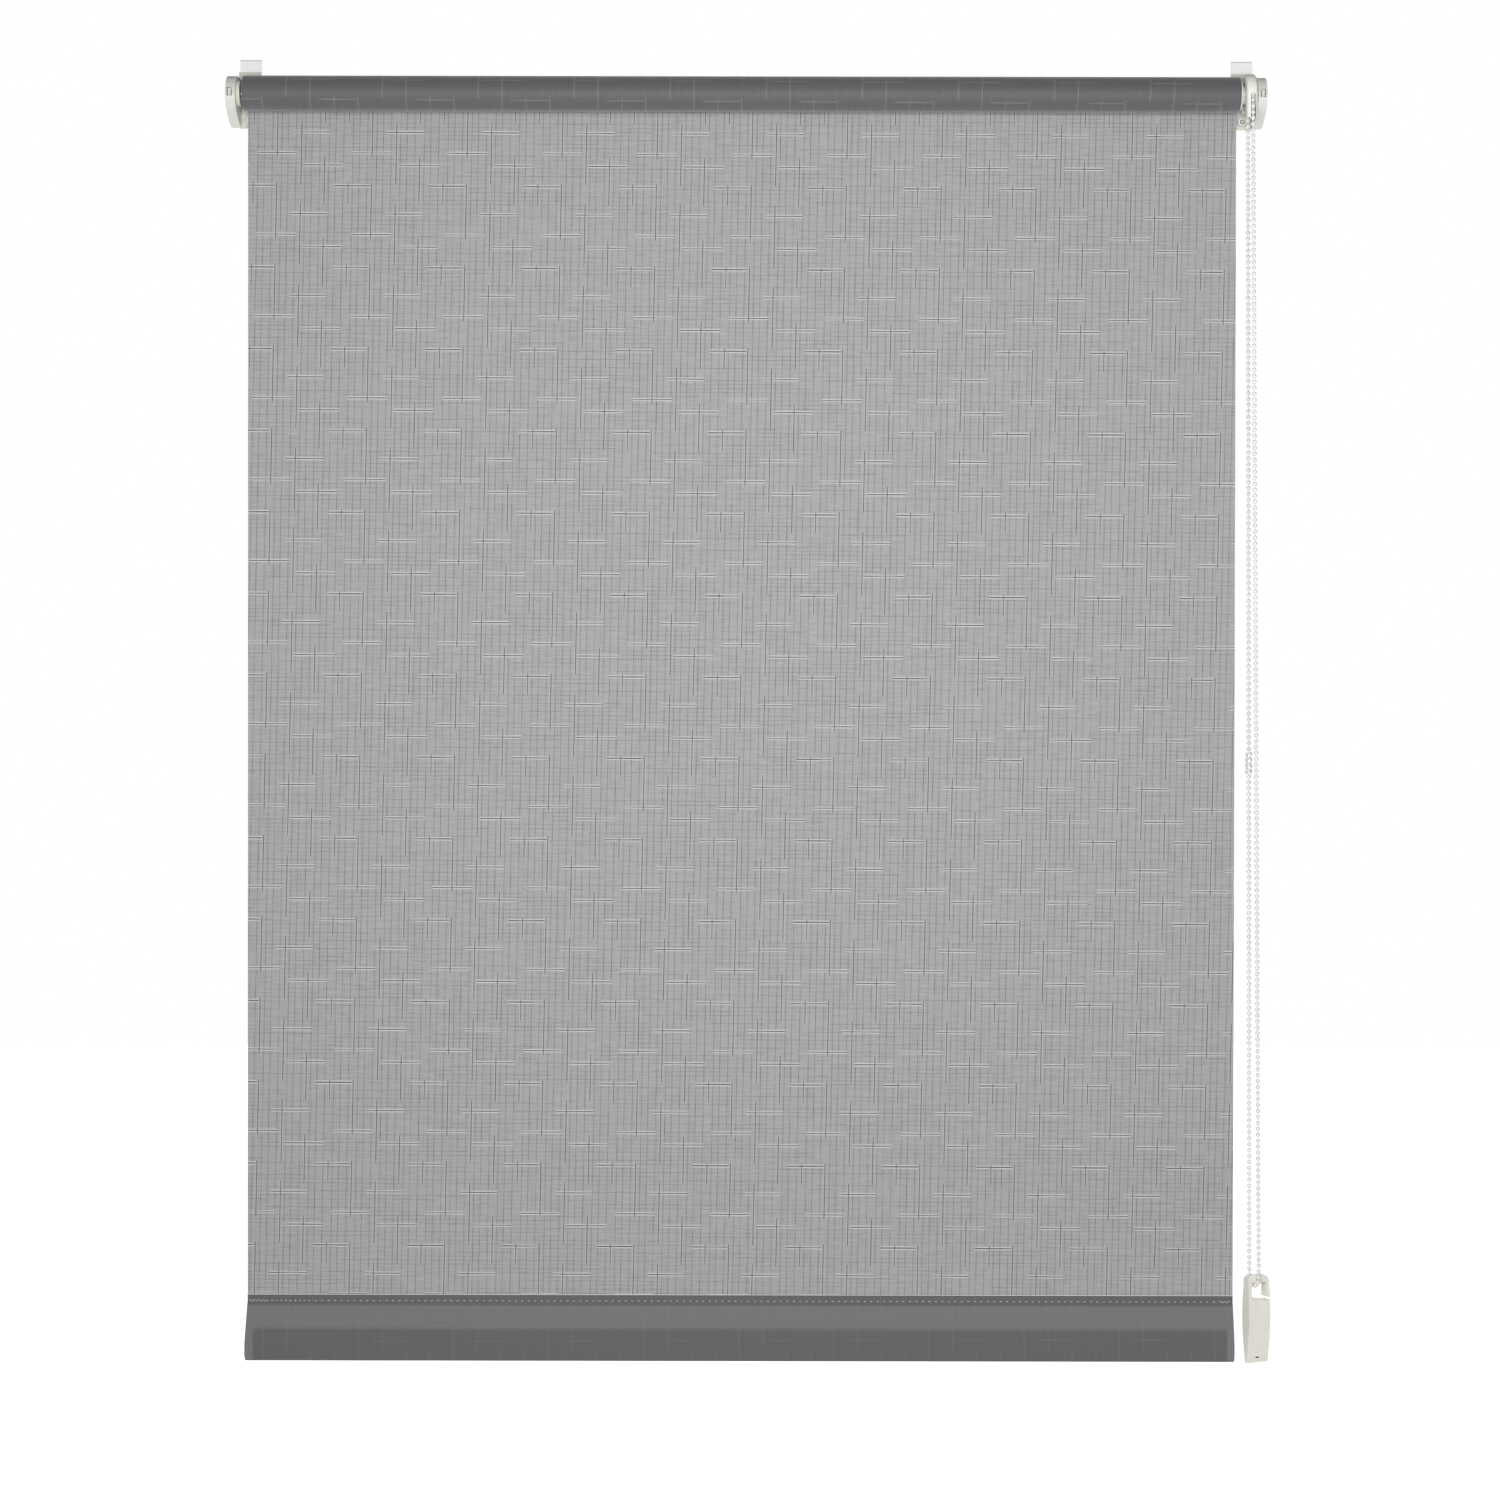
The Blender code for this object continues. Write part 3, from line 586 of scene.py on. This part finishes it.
STEEL = metal("screw_steel", linear(188, 190, 192), 0.3)
SPRING = metal("spring_steel", linear(170, 172, 176), 0.28, (0.4, 2, 2))
TUBE = metal("tube_aluminium", linear(205, 206, 208), 0.34, (0.03, 2, 2))
PAD = rubber("pad_rubber", linear(48, 48, 50))


# ---------------------------------------------------------------- camera, light and floor


def camera():
    """A 72 mm lens three metres in front, level with the middle of the blind."""
    data = bpy.data.cameras.new("camera")
    data.lens = 72.0
    data.sensor_width = 36.0
    obj = bpy.data.objects.new("camera", data)
    obj.location = (0.0048, -3.052, -0.674)
    obj.rotation_euler = (math.radians(90 - 0.45), math.radians(-0.1), 0.0)
    bpy.context.scene.collection.objects.link(obj)
    bpy.context.scene.camera = obj


def area_light(name, place, target, wide, tall, watts):
    data = bpy.data.lights.new(name, "AREA")
    data.shape = "RECTANGLE"
    data.size = wide
    data.size_y = tall
    data.energy = watts
    obj = bpy.data.objects.new(name, data)
    obj.location = place
    obj.rotation_euler = (Vector(target) - Vector(place)).to_track_quat("-Z", "Y").to_euler()
    obj.visible_camera = False
    bpy.context.scene.collection.objects.link(obj)


def surround():
    """A white surround, which lights the blind less than it shows."""
    world = bpy.data.worlds.new("surround")
    world.use_nodes = True
    tree = world.node_tree
    seen = tree.nodes.new("ShaderNodeLightPath")
    strength = tree.nodes.new("ShaderNodeMapRange")
    strength.inputs["To Min"].default_value = 0.18
    tree.links.new(seen.outputs["Is Camera Ray"], strength.inputs["Value"])
    tree.links.new(strength.outputs[0], tree.nodes["Background"].inputs["Strength"])
    tree.nodes["Background"].inputs["Color"].default_value = (1.0, 1.0, 1.0, 1.0)
    bpy.context.scene.world = world


def studio():
    """A wide soft light in front, a weaker one behind, and a pale floor that glows, more towards the
    rear: painted light.
    """
    bpy.context.scene.view_settings.view_transform = "Standard"
    surround()
    area_light("front_light", (0.05, -1.95, -0.38), (0, 0, -0.45), 1.7, 0.8, 38.5)
    area_light("rear_light", (0.5, 2.6, 0.3), (0, 0, -0.6), 1.6, 1.6, 28.0)
    bm = bmesh.new()
    corners = [(-7, -7), (7, -7), (7, 9), (-7, 9)]
    bm.faces.new([bm.verts.new((x / MM, y / MM, -1.95 / MM)) for x, y in corners])
    look = Look("floor_paper")
    place = look.place()
    paper = look.noise(place, 0.002, 2.0)
    pale = look.tint((0.9, 0.9, 0.9, 1.0), look.between(paper, 0.3, 0.7, 0.99, 1.0))
    _, y, _ = look.split(place)
    # Painted light: the floor glows, dim in front of the blind and full behind it, and lights the blind
    # from below.
    glow = look.between(y, -300.0, 2000.0, 0.2, 1.0)
    look.set(Base_Color=pale, Roughness=0.9)
    look.set(Emission_Color=(1.0, 1.0, 1.0, 1.0), Emission_Strength=glow)
    add_mesh("floor", bm, [look.material])


# ---------------------------------------------------------------- chain


def chain_route():
    """The chain's line, from the top of the connector over the wheel and back to its foot."""
    sine, cosine = math.sin(WEIGHT_TURN), math.cos(WEIGHT_TURN)
    rear_top = Vector((CHAIN_X, AXIS.y + PITCH_R, AXIS.z))
    front_top = Vector((CHAIN_X, AXIS.y - PITCH_R, AXIS.z))
    rear_low = WEIGHT_PLACE + LOOP_R * Vector((-sine, cosine, 0))
    front_low = WEIGHT_PLACE + LOOP_R * Vector((sine, -cosine, 0))
    share = (CONNECTOR_Z - AXIS.z) / (WEIGHT_PLACE.z - AXIS.z)
    joint = rear_top.lerp(rear_low, share)
    up = (rear_top - rear_low).normalized()
    reach = CONNECTOR_LONG / 2 + 0.3
    points = [joint + reach * up]
    for i in range(1, 6):
        points.append(points[0].lerp(rear_top, i / 6))
    for i in range(0, 21):
        angle = math.pi * i / 20
        y = AXIS.y + PITCH_R * math.cos(angle)
        points.append(Vector((CHAIN_X, y, AXIS.z + PITCH_R * math.sin(angle))))
    for i in range(1, 10):
        points.append(front_top.lerp(front_low, i / 10))
    for i in range(0, 17):
        angle = math.pi * i / 16
        flat = front_low.lerp(rear_low, (1 - math.cos(angle)) / 2)
        points.append(flat - Vector((0, 0, LOOP_R * math.sin(angle))))
    last = joint - reach * up
    for i in range(1, 7):
        points.append(rear_low.lerp(last, i / 6))
    return points, joint, up


def spaced(points, distances):
    """The places along a line of points at these distances from its start."""
    made = []
    i, passed = 0, 0.0
    step = (points[1] - points[0]).length
    for distance in distances:
        while passed + step < distance and i < len(points) - 2:
            passed += step
            i += 1
            step = (points[i + 1] - points[i]).length
        made.append(points[i].lerp(points[i + 1], min((distance - passed) / step, 1.0)))
    return made


def length_of(points):
    return sum((b - a).length for a, b in zip(points, points[1:]))


def bead_chain():
    """One tube whose radius swells into a bead at each pitch and falls to the thread between them."""
    route, joint, up = chain_route()
    total = length_of(route)
    count = round((total - 2 * BEAD_R) / BEAD_PITCH)
    pitch = (total - 2 * BEAD_R) / count
    distances, radii = [0.0], [THREAD_R]
    for bead in range(count + 1):
        middle = BEAD_R + bead * pitch
        for step in range(-4, 5):
            angle = math.pi / 2 * step / 4
            away = BEAD_R * math.sin(angle) * 0.97
            distances.append(middle + away)
            radii.append(max(THREAD_R, math.sqrt(max(BEAD_R**2 - away**2, 0.0))))
    order = sorted(zip(distances, radii))
    distances = [distance for distance, _ in order]
    radii = [radius for _, radius in order]
    chain = swept("bead_chain", spaced(route, distances), radii, [CHAIN], sides=12)
    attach(chain, "headrail")
    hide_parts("chain")
    return chain, route, joint, up, total


def chain_joint(joint, up):
    """The clear connector: two snapped halves with four swellings, one for each bead that they hold."""
    half = CONNECTOR_LONG / 2
    distances = [-half + CONNECTOR_LONG * i / 60 for i in range(61)]
    points, radii = [], []
    for along in distances:
        lobe = abs(math.cos(math.pi * (along + 9.0) / 6.0)) ** 0.7
        near_end = max(abs(along) - half + 1.8, 0.0) / 1.8
        points.append(joint + along * up)
        radii.append((2.3 + 1.2 * lobe) * (0.35 + 0.65 * math.sqrt(max(1 - near_end**2, 0.0))))
    shell = swept("connector_shell", points, radii, [CLEAR], sides=28, flat=0.92)
    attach(shell, "headrail")
    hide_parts("chain_connector")
    return shell


# ---------------------------------------------------------------- cloth


def sway(x, z):
    """How far the hanging cloth leans out of its plane: a very slight drape, none at the roll or hem."""
    share = (SHEET_HIGH.z - z) / (SHEET_HIGH.z - SHEET_LOW.z)
    hold = math.sin(math.pi * min(max(share, 0.0), 1.0))
    wave = math.sin(x / 118.0 + 0.8) + 0.6 * math.sin(x / 61.0 - z / 700.0 + 2.1)
    return 0.0, 0.5 * hold * wave + 0.12 * hold * noise.noise(Vector((x / 40.0, z / 60.0, 0.0)))


def hanging_cloth():
    top = SHEET_HIGH.z
    rows = 96
    line = [(SHEET_MIDDLE, top + (SHEET_LOW.z - top) * i / rows) for i in range(rows + 1)]
    looks = [SHEET_BACK, FRONT, EDGE]
    piece = band("hanging_cloth", line, SHEET_LOW.x, SHEET_HIGH.x, CLOTH, 80, looks, sway)
    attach(piece, "headrail")
    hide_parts("fabric_sheet")
    return piece


def cloth_roll():
    """The wound cloth, as the spiral that it is, with its back outwards."""
    turns = 2.2
    steps = int(turns * 96)
    outer = SHEET_MIDDLE - AXIS.y
    line = []
    for i in range(steps + 1):
        angle = 2 * math.pi * turns * i / steps
        radius = outer - (CLOTH + 0.02) * turns * i / steps - 0.2 * min(angle / math.pi, 1.0)
        line.append((radius * math.cos(angle), radius * math.sin(angle)))
    piece = band("cloth_roll", line, ROLL_LOW.x - 0.9, ROLL_HIGH.x, CLOTH, 60, [FRONT_WOUND, BACK, EDGE])
    piece.location = AXIS * MM
    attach(piece, "roller")
    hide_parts("fabric_roll")
    return piece


def hem_line():
    """The hem's path: down behind the bar, round its bottom and up the front to the raw edge."""
    middle = SHEET_MIDDLE
    reach = (HEM_HIGH.y - HEM_LOW.y) / 2 - CLOTH / 2
    top, low = HEM_HIGH.z, HEM_LOW.z + CLOTH / 2
    seam = top - 6.0
    bar_top = BAR_HIGH.z
    rear = [
        (middle, top - 0.2),
        (middle + 0.1, seam),
        (middle + 1.2, seam - 7.0),
        (middle + reach - 0.6, bar_top + 3.0),
        (middle + reach, bar_top - 3.0),
        (middle + reach, low + 12.0),
        (middle + reach, low + 4.2),
        (middle + reach - 1.3, low + 1.3),
        (middle + reach - 3.6, low),
    ]
    front = [
        (middle - reach + 3.6, low),
        (middle - reach + 1.3, low + 1.3),
        (middle - reach, low + 4.2),
        (middle - reach, low + 12.0),
        (middle - reach, bar_top - 3.0),
        (middle - reach + 0.5, bar_top + 3.0),
        (middle - 2.3, seam - 7.0),
        (middle - 0.62, seam),
        (middle - 0.95, top + 0.1),
    ]
    return smooth_line(rear + front, 5)


def hem_cloth():
    looks = [HEM_BACK, FRONT_WOUND, EDGE]
    piece = band("hem_cloth", hem_line(), HEM_LOW.x, HEM_HIGH.x, CLOTH, 90, looks, hem_sway)
    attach(piece, "hem_bar")
    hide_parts("hem")
    return piece


def hem_sway(x, z):
    """The hem's slack, and how it spreads past the sheet's sides towards its foot."""
    rise = z - HEM_LOW.z
    spread = min(max((HEM_HIGH.z - 7.0 - z) / 44.0, 0.0), 1.0) - 0.35 * max(1.0 - rise / 6.0, 0.0)
    share = (x - HEM_LOW.x) / (HEM_HIGH.x - HEM_LOW.x)
    return (4.2 * share - 2.7) * spread, 0.15 * noise.noise(Vector((x / 70.0, z / 40.0, 3.0)))


def stitching():
    """The seam's stitches, each a short arched thread, closer together where it starts and ends."""
    bm = bmesh.new()
    seam = HEM_HIGH.z - 6.0
    front = SHEET_MIDDLE - 0.62 - CLOTH / 2
    places = []
    x = HEM_LOW.x + 2.5
    while x < HEM_HIGH.x - 2.0:
        from_end = min(x - HEM_LOW.x, HEM_HIGH.x - x)
        places.append((x, 0.5 * (-1) ** len(places) if from_end < 19.0 else 0.0))
        x += 2.2 if from_end < 18.0 else 4.7 if x < HEM_LOW.x + 62.0 else 6.56
    for x, rise in places:
        long = 0.95 + 0.2 * noise.noise(Vector((x / 9.0, rise, 0.5)))
        lift = 0.12 * noise.noise(Vector((x / 5.0, 2.0, rise)))
        rings = []
        for step in range(5):
            t = step / 4
            along = (t - 0.5) * 2 * long
            arch = 0.5 * math.sin(math.pi * t) - 0.12
            radius = 0.42 * (0.55 + 0.45 * math.sin(math.pi * t))
            centre = Vector((x + along, front - arch, seam + rise + lift + 0.12 * along))
            ring = []
            for side in range(7):
                angle = 2 * math.pi * side / 7
                out = Vector((0, math.cos(angle), math.sin(angle)))
                ring.append(bm.verts.new(centre + radius * out))
            rings.append(ring)
        for here, there in zip(rings, rings[1:]):
            for side in range(7):
                after = (side + 1) % 7
                bm.faces.new((here[side], here[after], there[after], there[side]))
        bm.faces.new(rings[0])
        bm.faces.new(rings[-1])
    piece = add_mesh("hem_stitching", bm, [STITCH], 60.0)
    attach(piece, "hem_bar")
    return piece


# ---------------------------------------------------------------- caps, guard, hooks and weight

CAP_OUTLINE = [
    (22.6, 17.6), (14.0, 17.6), (4.0, 17.5), (-3.5, 16.6), (-10.0, 13.8), (-15.2, 9.0), (-18.6, 3.0),
    (-20.0, -4.0), (-18.8, -10.0), (-14.8, -15.6), (-8.0, -20.8), (0.5, -25.2), (8.0, -28.4),
    (14.0, -30.0), (22.6, -30.0),
]
CAP_WALL = 1.5

# The latch window: its lower and upper edge, and how far its sides lie from the cap's outer face
WINDOW_Z = (-44.1, -35.5)
WINDOW_FROM_FACE = (1.6, 7.0)

# The hooks' holes for the clamp screw and the rivet, each (height, radius)
HOOK_HOLES = ((-61.0, 2.3), (-30.0, 1.7))


def inset(outline, distance):
    """The open outline moved inwards by a distance, along the normal at each point."""
    moved = []
    for i, (y, z) in enumerate(outline):
        before, after = outline[max(i - 1, 0)], outline[min(i + 1, len(outline) - 1)]
        dy, dz = after[0] - before[0], after[1] - before[1]
        long = math.hypot(dy, dz)
        moved.append((y - dz / long * distance, z + dy / long * distance))
    return moved


def at_axis(outline):
    return [(AXIS.y + y, AXIS.z + z) for y, z in outline]


def end_cap(suffix, side):
    """The bracket's cover: a plate with a rim round its nose, and the latch window in it."""
    node = "end_cap_" + suffix
    low, high = box_of(node)
    outer, inner = (low.x, high.x) if side < 0 else (high.x, low.x)
    outline = [tuple(point) for point in smooth_line(CAP_OUTLINE[2:-1], 5)]
    outline = [CAP_OUTLINE[0]] + outline + [CAP_OUTLINE[-1]]
    cap = prism("cover_" + suffix, at_axis(outline), outer, inner, "X", [CAP])
    hollow = inset(outline, CAP_WALL)
    hollow[0] = (30.0, hollow[0][1])
    hollow[-1] = (30.0, hollow[-1][1])
    room = prism("hollow", at_axis(hollow), outer - side * CAP_WALL, inner - side * 1.0, "X")
    combine(cap, room, "DIFFERENCE")
    near, far = [outer - side * distance for distance in WINDOW_FROM_FACE]
    window_low = (near, AXIS.y - 25.0, WINDOW_Z[0])
    window_high = (far, AXIS.y - 15.0, WINDOW_Z[1])
    combine(cap, block("window", window_low, window_high), "DIFFERENCE")
    soften(cap, 0.75, 4, 50.0)
    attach(cap, "headrail")
    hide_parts(node)


def guard_section():
    """The guard's cross-section as (x, distance from the axis): a channel with round shoulders."""
    low, high = box_of("chain_guard")
    left, right = low.x, high.x
    outer, thick, shoulder, foot = 20.3, 1.4, 3.4, 10.6

    def arc(middle_x, radius, start, turn):
        made = []
        for step in range(7):
            angle = math.radians(start + turn * step / 6)
            away = outer - shoulder + radius * math.sin(angle)
            made.append((middle_x + radius * math.cos(angle), away))
        return made

    points = [(left, foot)]
    points += arc(left + shoulder, shoulder, 180, -90)
    points += arc(right - shoulder, shoulder, 90, -90)
    points += [(right, outer - shoulder), (right - 0.3, outer - shoulder)]
    points += arc(right - shoulder, shoulder - thick, 0, 90)
    points += arc(left + shoulder, shoulder - thick, 90, 90)
    points.append((left + thick, foot))
    return points


def chain_guard():
    """The channel over the wheel, from its rear round the top and down its front, with a slot."""
    section = guard_section()
    stations = [(Vector((1, 0)), -15.0), (Vector((1, 0)), -7.0)]
    for step in range(33):
        angle = math.pi * step / 32
        stations.append((Vector((math.cos(angle), math.sin(angle))), 0.0))
    stations += [(Vector((-1, 0)), -9.0), (Vector((-1, 0)), -18.0), (Vector((-1, 0)), -26.0)]
    bm = bmesh.new()
    rings = []
    for out, drop in stations:
        ring = []
        for x, reach in section:
            ring.append(bm.verts.new((x, AXIS.y + reach * out.x, AXIS.z + drop + reach * out.y)))
        rings.append(ring)
    for here, there in zip(rings, rings[1:]):
        for i in range(len(section)):
            j = (i + 1) % len(section)
            bm.faces.new((here[i], here[j], there[j], there[i]))
    bm.faces.new(rings[0])
    bm.faces.new(rings[-1])
    guard = add_mesh("wheel_guard", bm, [GUARD])
    slot = [(x + CHAIN_X, z) for x, z in rounded(2.7, -80.0, -39.5, 2.6)]
    mouth = prism("mouth", slot, AXIS.y - 24.0, AXIS.y - 12.0, "Y")
    combine(guard, mouth, "DIFFERENCE")
    soften(guard, 0.35, 2, 50.0)
    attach(guard, "headrail")
    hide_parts("chain_guard")


def chain_wheel():
    """The wheel that the beads sit in: two flanges, and between them sixteen pockets with ribs."""
    low, high = box_of("chain_wheel")
    groove_low, groove_high = CHAIN_X - 2.6, CHAIN_X + 2.6
    pockets = 16
    sides = pockets * 10

    def floor_at(share):
        return PITCH_R - 2.4 + 2.1 * (0.5 + 0.5 * math.cos(2 * math.pi * share)) ** 3

    bm = bmesh.new()
    rings = []
    for s in range(sides):
        angle = 2 * math.pi * s / sides
        floor = floor_at(s * pockets / sides)
        profile = [
            (low.x, 7.9), (low.x, 9.1), (groove_low - 1.9, 9.1), (groove_low - 1.7, 16.3),
            (groove_low - 0.4, 16.5), (groove_low, 15.4), (groove_low + 0.9, floor + 0.3),
            (CHAIN_X, floor), (groove_high - 0.9, floor + 0.3), (groove_high, 15.4),
            (groove_high + 0.4, 16.5), (groove_high + 1.3, 16.3), (high.x, 6.4),
            (ROLL_HIGH.x + 2.0, 6.4), (ROLL_HIGH.x + 2.0, 7.9),
        ]
        out = Vector((0, math.cos(angle), math.sin(angle)))
        rings.append([bm.verts.new(AXIS + Vector((d, 0, 0)) + r * out) for d, r in profile])
    for s in range(sides):
        here, there = rings[s], rings[(s + 1) % sides]
        for i in range(len(here)):
            j = (i + 1) % len(here)
            bm.faces.new((here[i], here[j], there[j], there[i]))
    wheel = add_mesh("bead_wheel", bm, [PLUG], 40.0)
    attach(wheel, "roller")
    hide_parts("chain_wheel")


def clamp_hook(suffix, side):
    """The painted steel strip bent over the sash, with rounded bends and corners."""
    node = "hook_" + suffix
    low, high = box_of(node)
    thick = 1.5
    half = thick / 2
    bend = 1.6
    front, rear, top = low.y + half, high.y - half, high.z - half
    line = [(front, low.z), (front, low.z + 30.0), (front, top - 12.0)]
    for step in range(7):
        angle = math.radians(180 - 90 * step / 6)
        line.append((front + bend + bend * math.cos(angle), top - bend + bend * math.sin(angle)))
    for step in range(7):
        angle = math.radians(90 - 90 * step / 6)
        line.append((rear - bend + bend * math.cos(angle), top - bend + bend * math.sin(angle)))
    line += [(rear, top - 9.0), (rear, -18.0)]
    hook = band("clamp_hook_" + suffix, line, low.x, high.x, thick, 1, [PAINTED, PAINTED, PAINTED])
    centre = (low.x + high.x) / 2
    for way in (-1, 1):
        near, far = sorted((centre + way * 6.5, centre + way * 15.0))
        side_cut = block("side", (near, front + half + 0.6, -30.0), (far, rear + 5.0, 5.0))
        combine(hook, side_cut, "DIFFERENCE")
    for height, radius in HOOK_HOLES:
        profile = [(-6.0, 0.001), (-6.0, radius), (0.0, radius), (0.0, 0.001)]
        combine(hook, turned("hole", profile, (centre, 0, height), (), 32, "Y"), "DIFFERENCE")
    soften(hook, 0.3, 2, 60.0)
    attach(hook, "headrail")
    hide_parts(node)


WEIGHT_FACE = [
    (3.0, 4.0), (4.2, 1.0), (4.7, -7.0), (6.1, -22.0), (6.7, -36.0), (6.55, -47.0), (5.7, -58.0),
    (3.6, -72.0), (1.5, -87.0),
]


def weight_half(w):
    """Half the weight's thickness at a height."""
    for (above, high), (below, low) in zip(WEIGHT_FACE, WEIGHT_FACE[1:]):
        if w >= low:
            return below + (above - below) * (w - low) / (high - low)
    return WEIGHT_FACE[-1][0]


def corner_arcs(corners):
    """A closed outline of rounded corners, each (u, w, radius, the angle at which its arc starts)."""
    outline = []
    for u, w, radius, start in corners:
        middle_u = u + radius if start in (90, 180) else u - radius
        middle_w = w + radius if start in (180, 270) else w - radius
        for step in range(9):
            angle = math.radians(start + 90 * step / 8)
            outline.append((middle_u + radius * math.cos(angle), middle_w + radius * math.sin(angle)))
    return outline


def weight_body():
    """The weight in the chain's loop: a round arch, a prong over an open slit, and a thin foot."""
    left, right, top, bottom = -9.6, 15.4, 3.0, -85.8
    eye_left, eye_right, arch_r = left + 4.0, right - 3.4, 6.1
    corners = [(right, top, 7.5, 0), (left, top, 5.0, 90)]
    corners += [(left, bottom, 1.2, 180), (right, bottom, 1.2, 270)]
    body = prism("weight_body", corner_arcs(corners), -7.0, 7.0, "Y", [WEIGHT])
    wedge = [(-v, w) for v, w in WEIGHT_FACE] + WEIGHT_FACE[::-1]
    combine(body, prism("wedge", wedge, left - 5, right + 5, "X"), "INTERSECT")
    eye = [(eye_right, -arch_r, 4.2, 0), (eye_left, -arch_r, 2.2, 90)]
    eye += [(eye_left, -21.0, 2.2, 180), (eye_right, -22.3, 0.6, 270)]
    combine(body, prism("eye", corner_arcs(eye), -10, 10, "Y"), "DIFFERENCE")
    slit = [(8.0, -19.0), (8.0, -22.1), (11.0, -22.5)]
    slit += [(right + 5, -22.0), (right + 5, -20.2), (12.0, -19.4)]
    combine(body, prism("slit", slit, -10, 10, "Y"), "DIFFERENCE")
    lens = []
    for step in range(24):
        angle = 2 * math.pi * step / 24
        tall = 0.85 * math.sin(angle) * abs(math.sin(angle)) ** 0.4
        lens.append((2.6 + 2.4 * math.cos(angle), -80.5 + tall))
    combine(body, prism("lens", lens, -10, 10, "Y"), "DIFFERENCE")
    # Painted shade: a dark plate in the lens hole stands for the shade inside the hole.
    lens_shade = prism("weight_lens_shade", lens, -2.0, 2.0, "Y", [PAD])
    for sign in (-1, 1):
        corner = [(sign * 0.5, -arch_r - 0.2), (sign * 9.0, -arch_r - 0.2), (sign * 9.0, 0.0)]
        for step in range(15):
            angle = math.radians(step * 6.0)
            corner.append((sign * arch_r * math.cos(angle), -arch_r * math.sin(angle)))
        combine(body, prism("corner", corner, eye_left + 0.01, eye_right - 0.01, "X"), "DIFFERENCE")
    grip_ribs(body)
    soften(body, 0.7, 4, 30.0)
    body.data.shade_smooth()
    hung = Matrix.Translation(WEIGHT_PLACE * MM) @ Matrix.Rotation(WEIGHT_TURN, 4, "Z")
    for piece in (body, lens_shade):
        piece.data.transform(hung)
        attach(piece, "weight")
    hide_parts("chain_weight")


def grip_ribs(body):
    """Shallow level ribs on both faces, for the fingers."""
    bm = bmesh.new()
    for number in range(8):
        w = -50.5 - 3.4 * number
        rings = []
        for step in range(9):
            t = step / 8 * 2 - 1
            tall = 0.7 * math.sqrt(max(1 - t * t, 0.02))
            out = weight_half(w) + 0.3 - 0.25 * t * t
            up = w + 0.3 * math.sin(3.0 * t)
            front = [(1.0 - out, tall), (-out, tall * 0.3), (-out, -tall * 0.3), (1.0 - out, -tall)]
            corners = front + [(-v, -away) for v, away in front]
            rings.append([bm.verts.new((4.0 + 4.0 * t, v, up + away)) for v, away in corners])
        for here, there in zip(rings, rings[1:]):
            for i in range(8):
                j = (i + 1) % 8
                bm.faces.new((here[i], here[j], there[j], there[i]))
        bm.faces.new(rings[0])
        bm.faces.new(rings[-1])
    combine(body, add_mesh("ribs", bm, ()), "UNION")


# ---------------------------------------------------------------- CAD nodes that stay


def dress_cad_nodes():
    """Gives the CAD nodes that stay their materials and soft edges."""
    looks = {
        "bracket_left": (BRACKET, 0.35),
        "bracket_right": (BRACKET, 0.35),
        "hook_pad_left": (PAD, 0.5),
        "hook_pad_right": (PAD, 0.5),
        "hook_rivet_left": (STEEL, 0.0),
        "hook_rivet_right": (STEEL, 0.0),
        "clamp_screw_left": (STEEL, 0.0),
        "clamp_screw_right": (STEEL, 0.0),
        "pressure_pad_left": (PAD, 0.0),
        "pressure_pad_right": (PAD, 0.0),
        "roller_tube": (TUBE, 0.0),
        "idle_plug": (PLUG, 0.0),
        "drive_plug": (PLUG, 0.0),
        "idle_pin": (STEEL, 0.0),
        "idle_spring": (SPRING, 0.0),
        "wrap_spring_1": (SPRING, 0.0),
        "wrap_spring_2": (SPRING, 0.0),
        "clutch_axle": (PLUG, 0.0),
        "axle_screw": (STEEL, 0.0),
        "bottom_bar": (TUBE, 0.0),
        "bar_plug_left": (PLUG, 0.4),
        "bar_plug_right": (PLUG, 0.4),
    }
    for name, (look, edge) in looks.items():
        node = frame["nodes"][name]
        node.data.materials.clear()
        node.data.materials.append(look)
        if edge:
            soften(node, edge, 2, 50.0)


camera()
studio()
chain, route, joint, up, chain_long = bead_chain()
connector = chain_joint(joint, up)
cord_path = [point * MM for point in spaced(route, [chain_long * i / 600 for i in range(601)])]
sheet = hanging_cloth()
roll = cloth_roll()
hem = hem_cloth()
seam = stitching()
end_cap("left", -1)
end_cap("right", 1)
chain_guard()
chain_wheel()
clamp_hook("left", -1)
clamp_hook("right", 1)
weight_body()
dress_cad_nodes()
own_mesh(sheet)
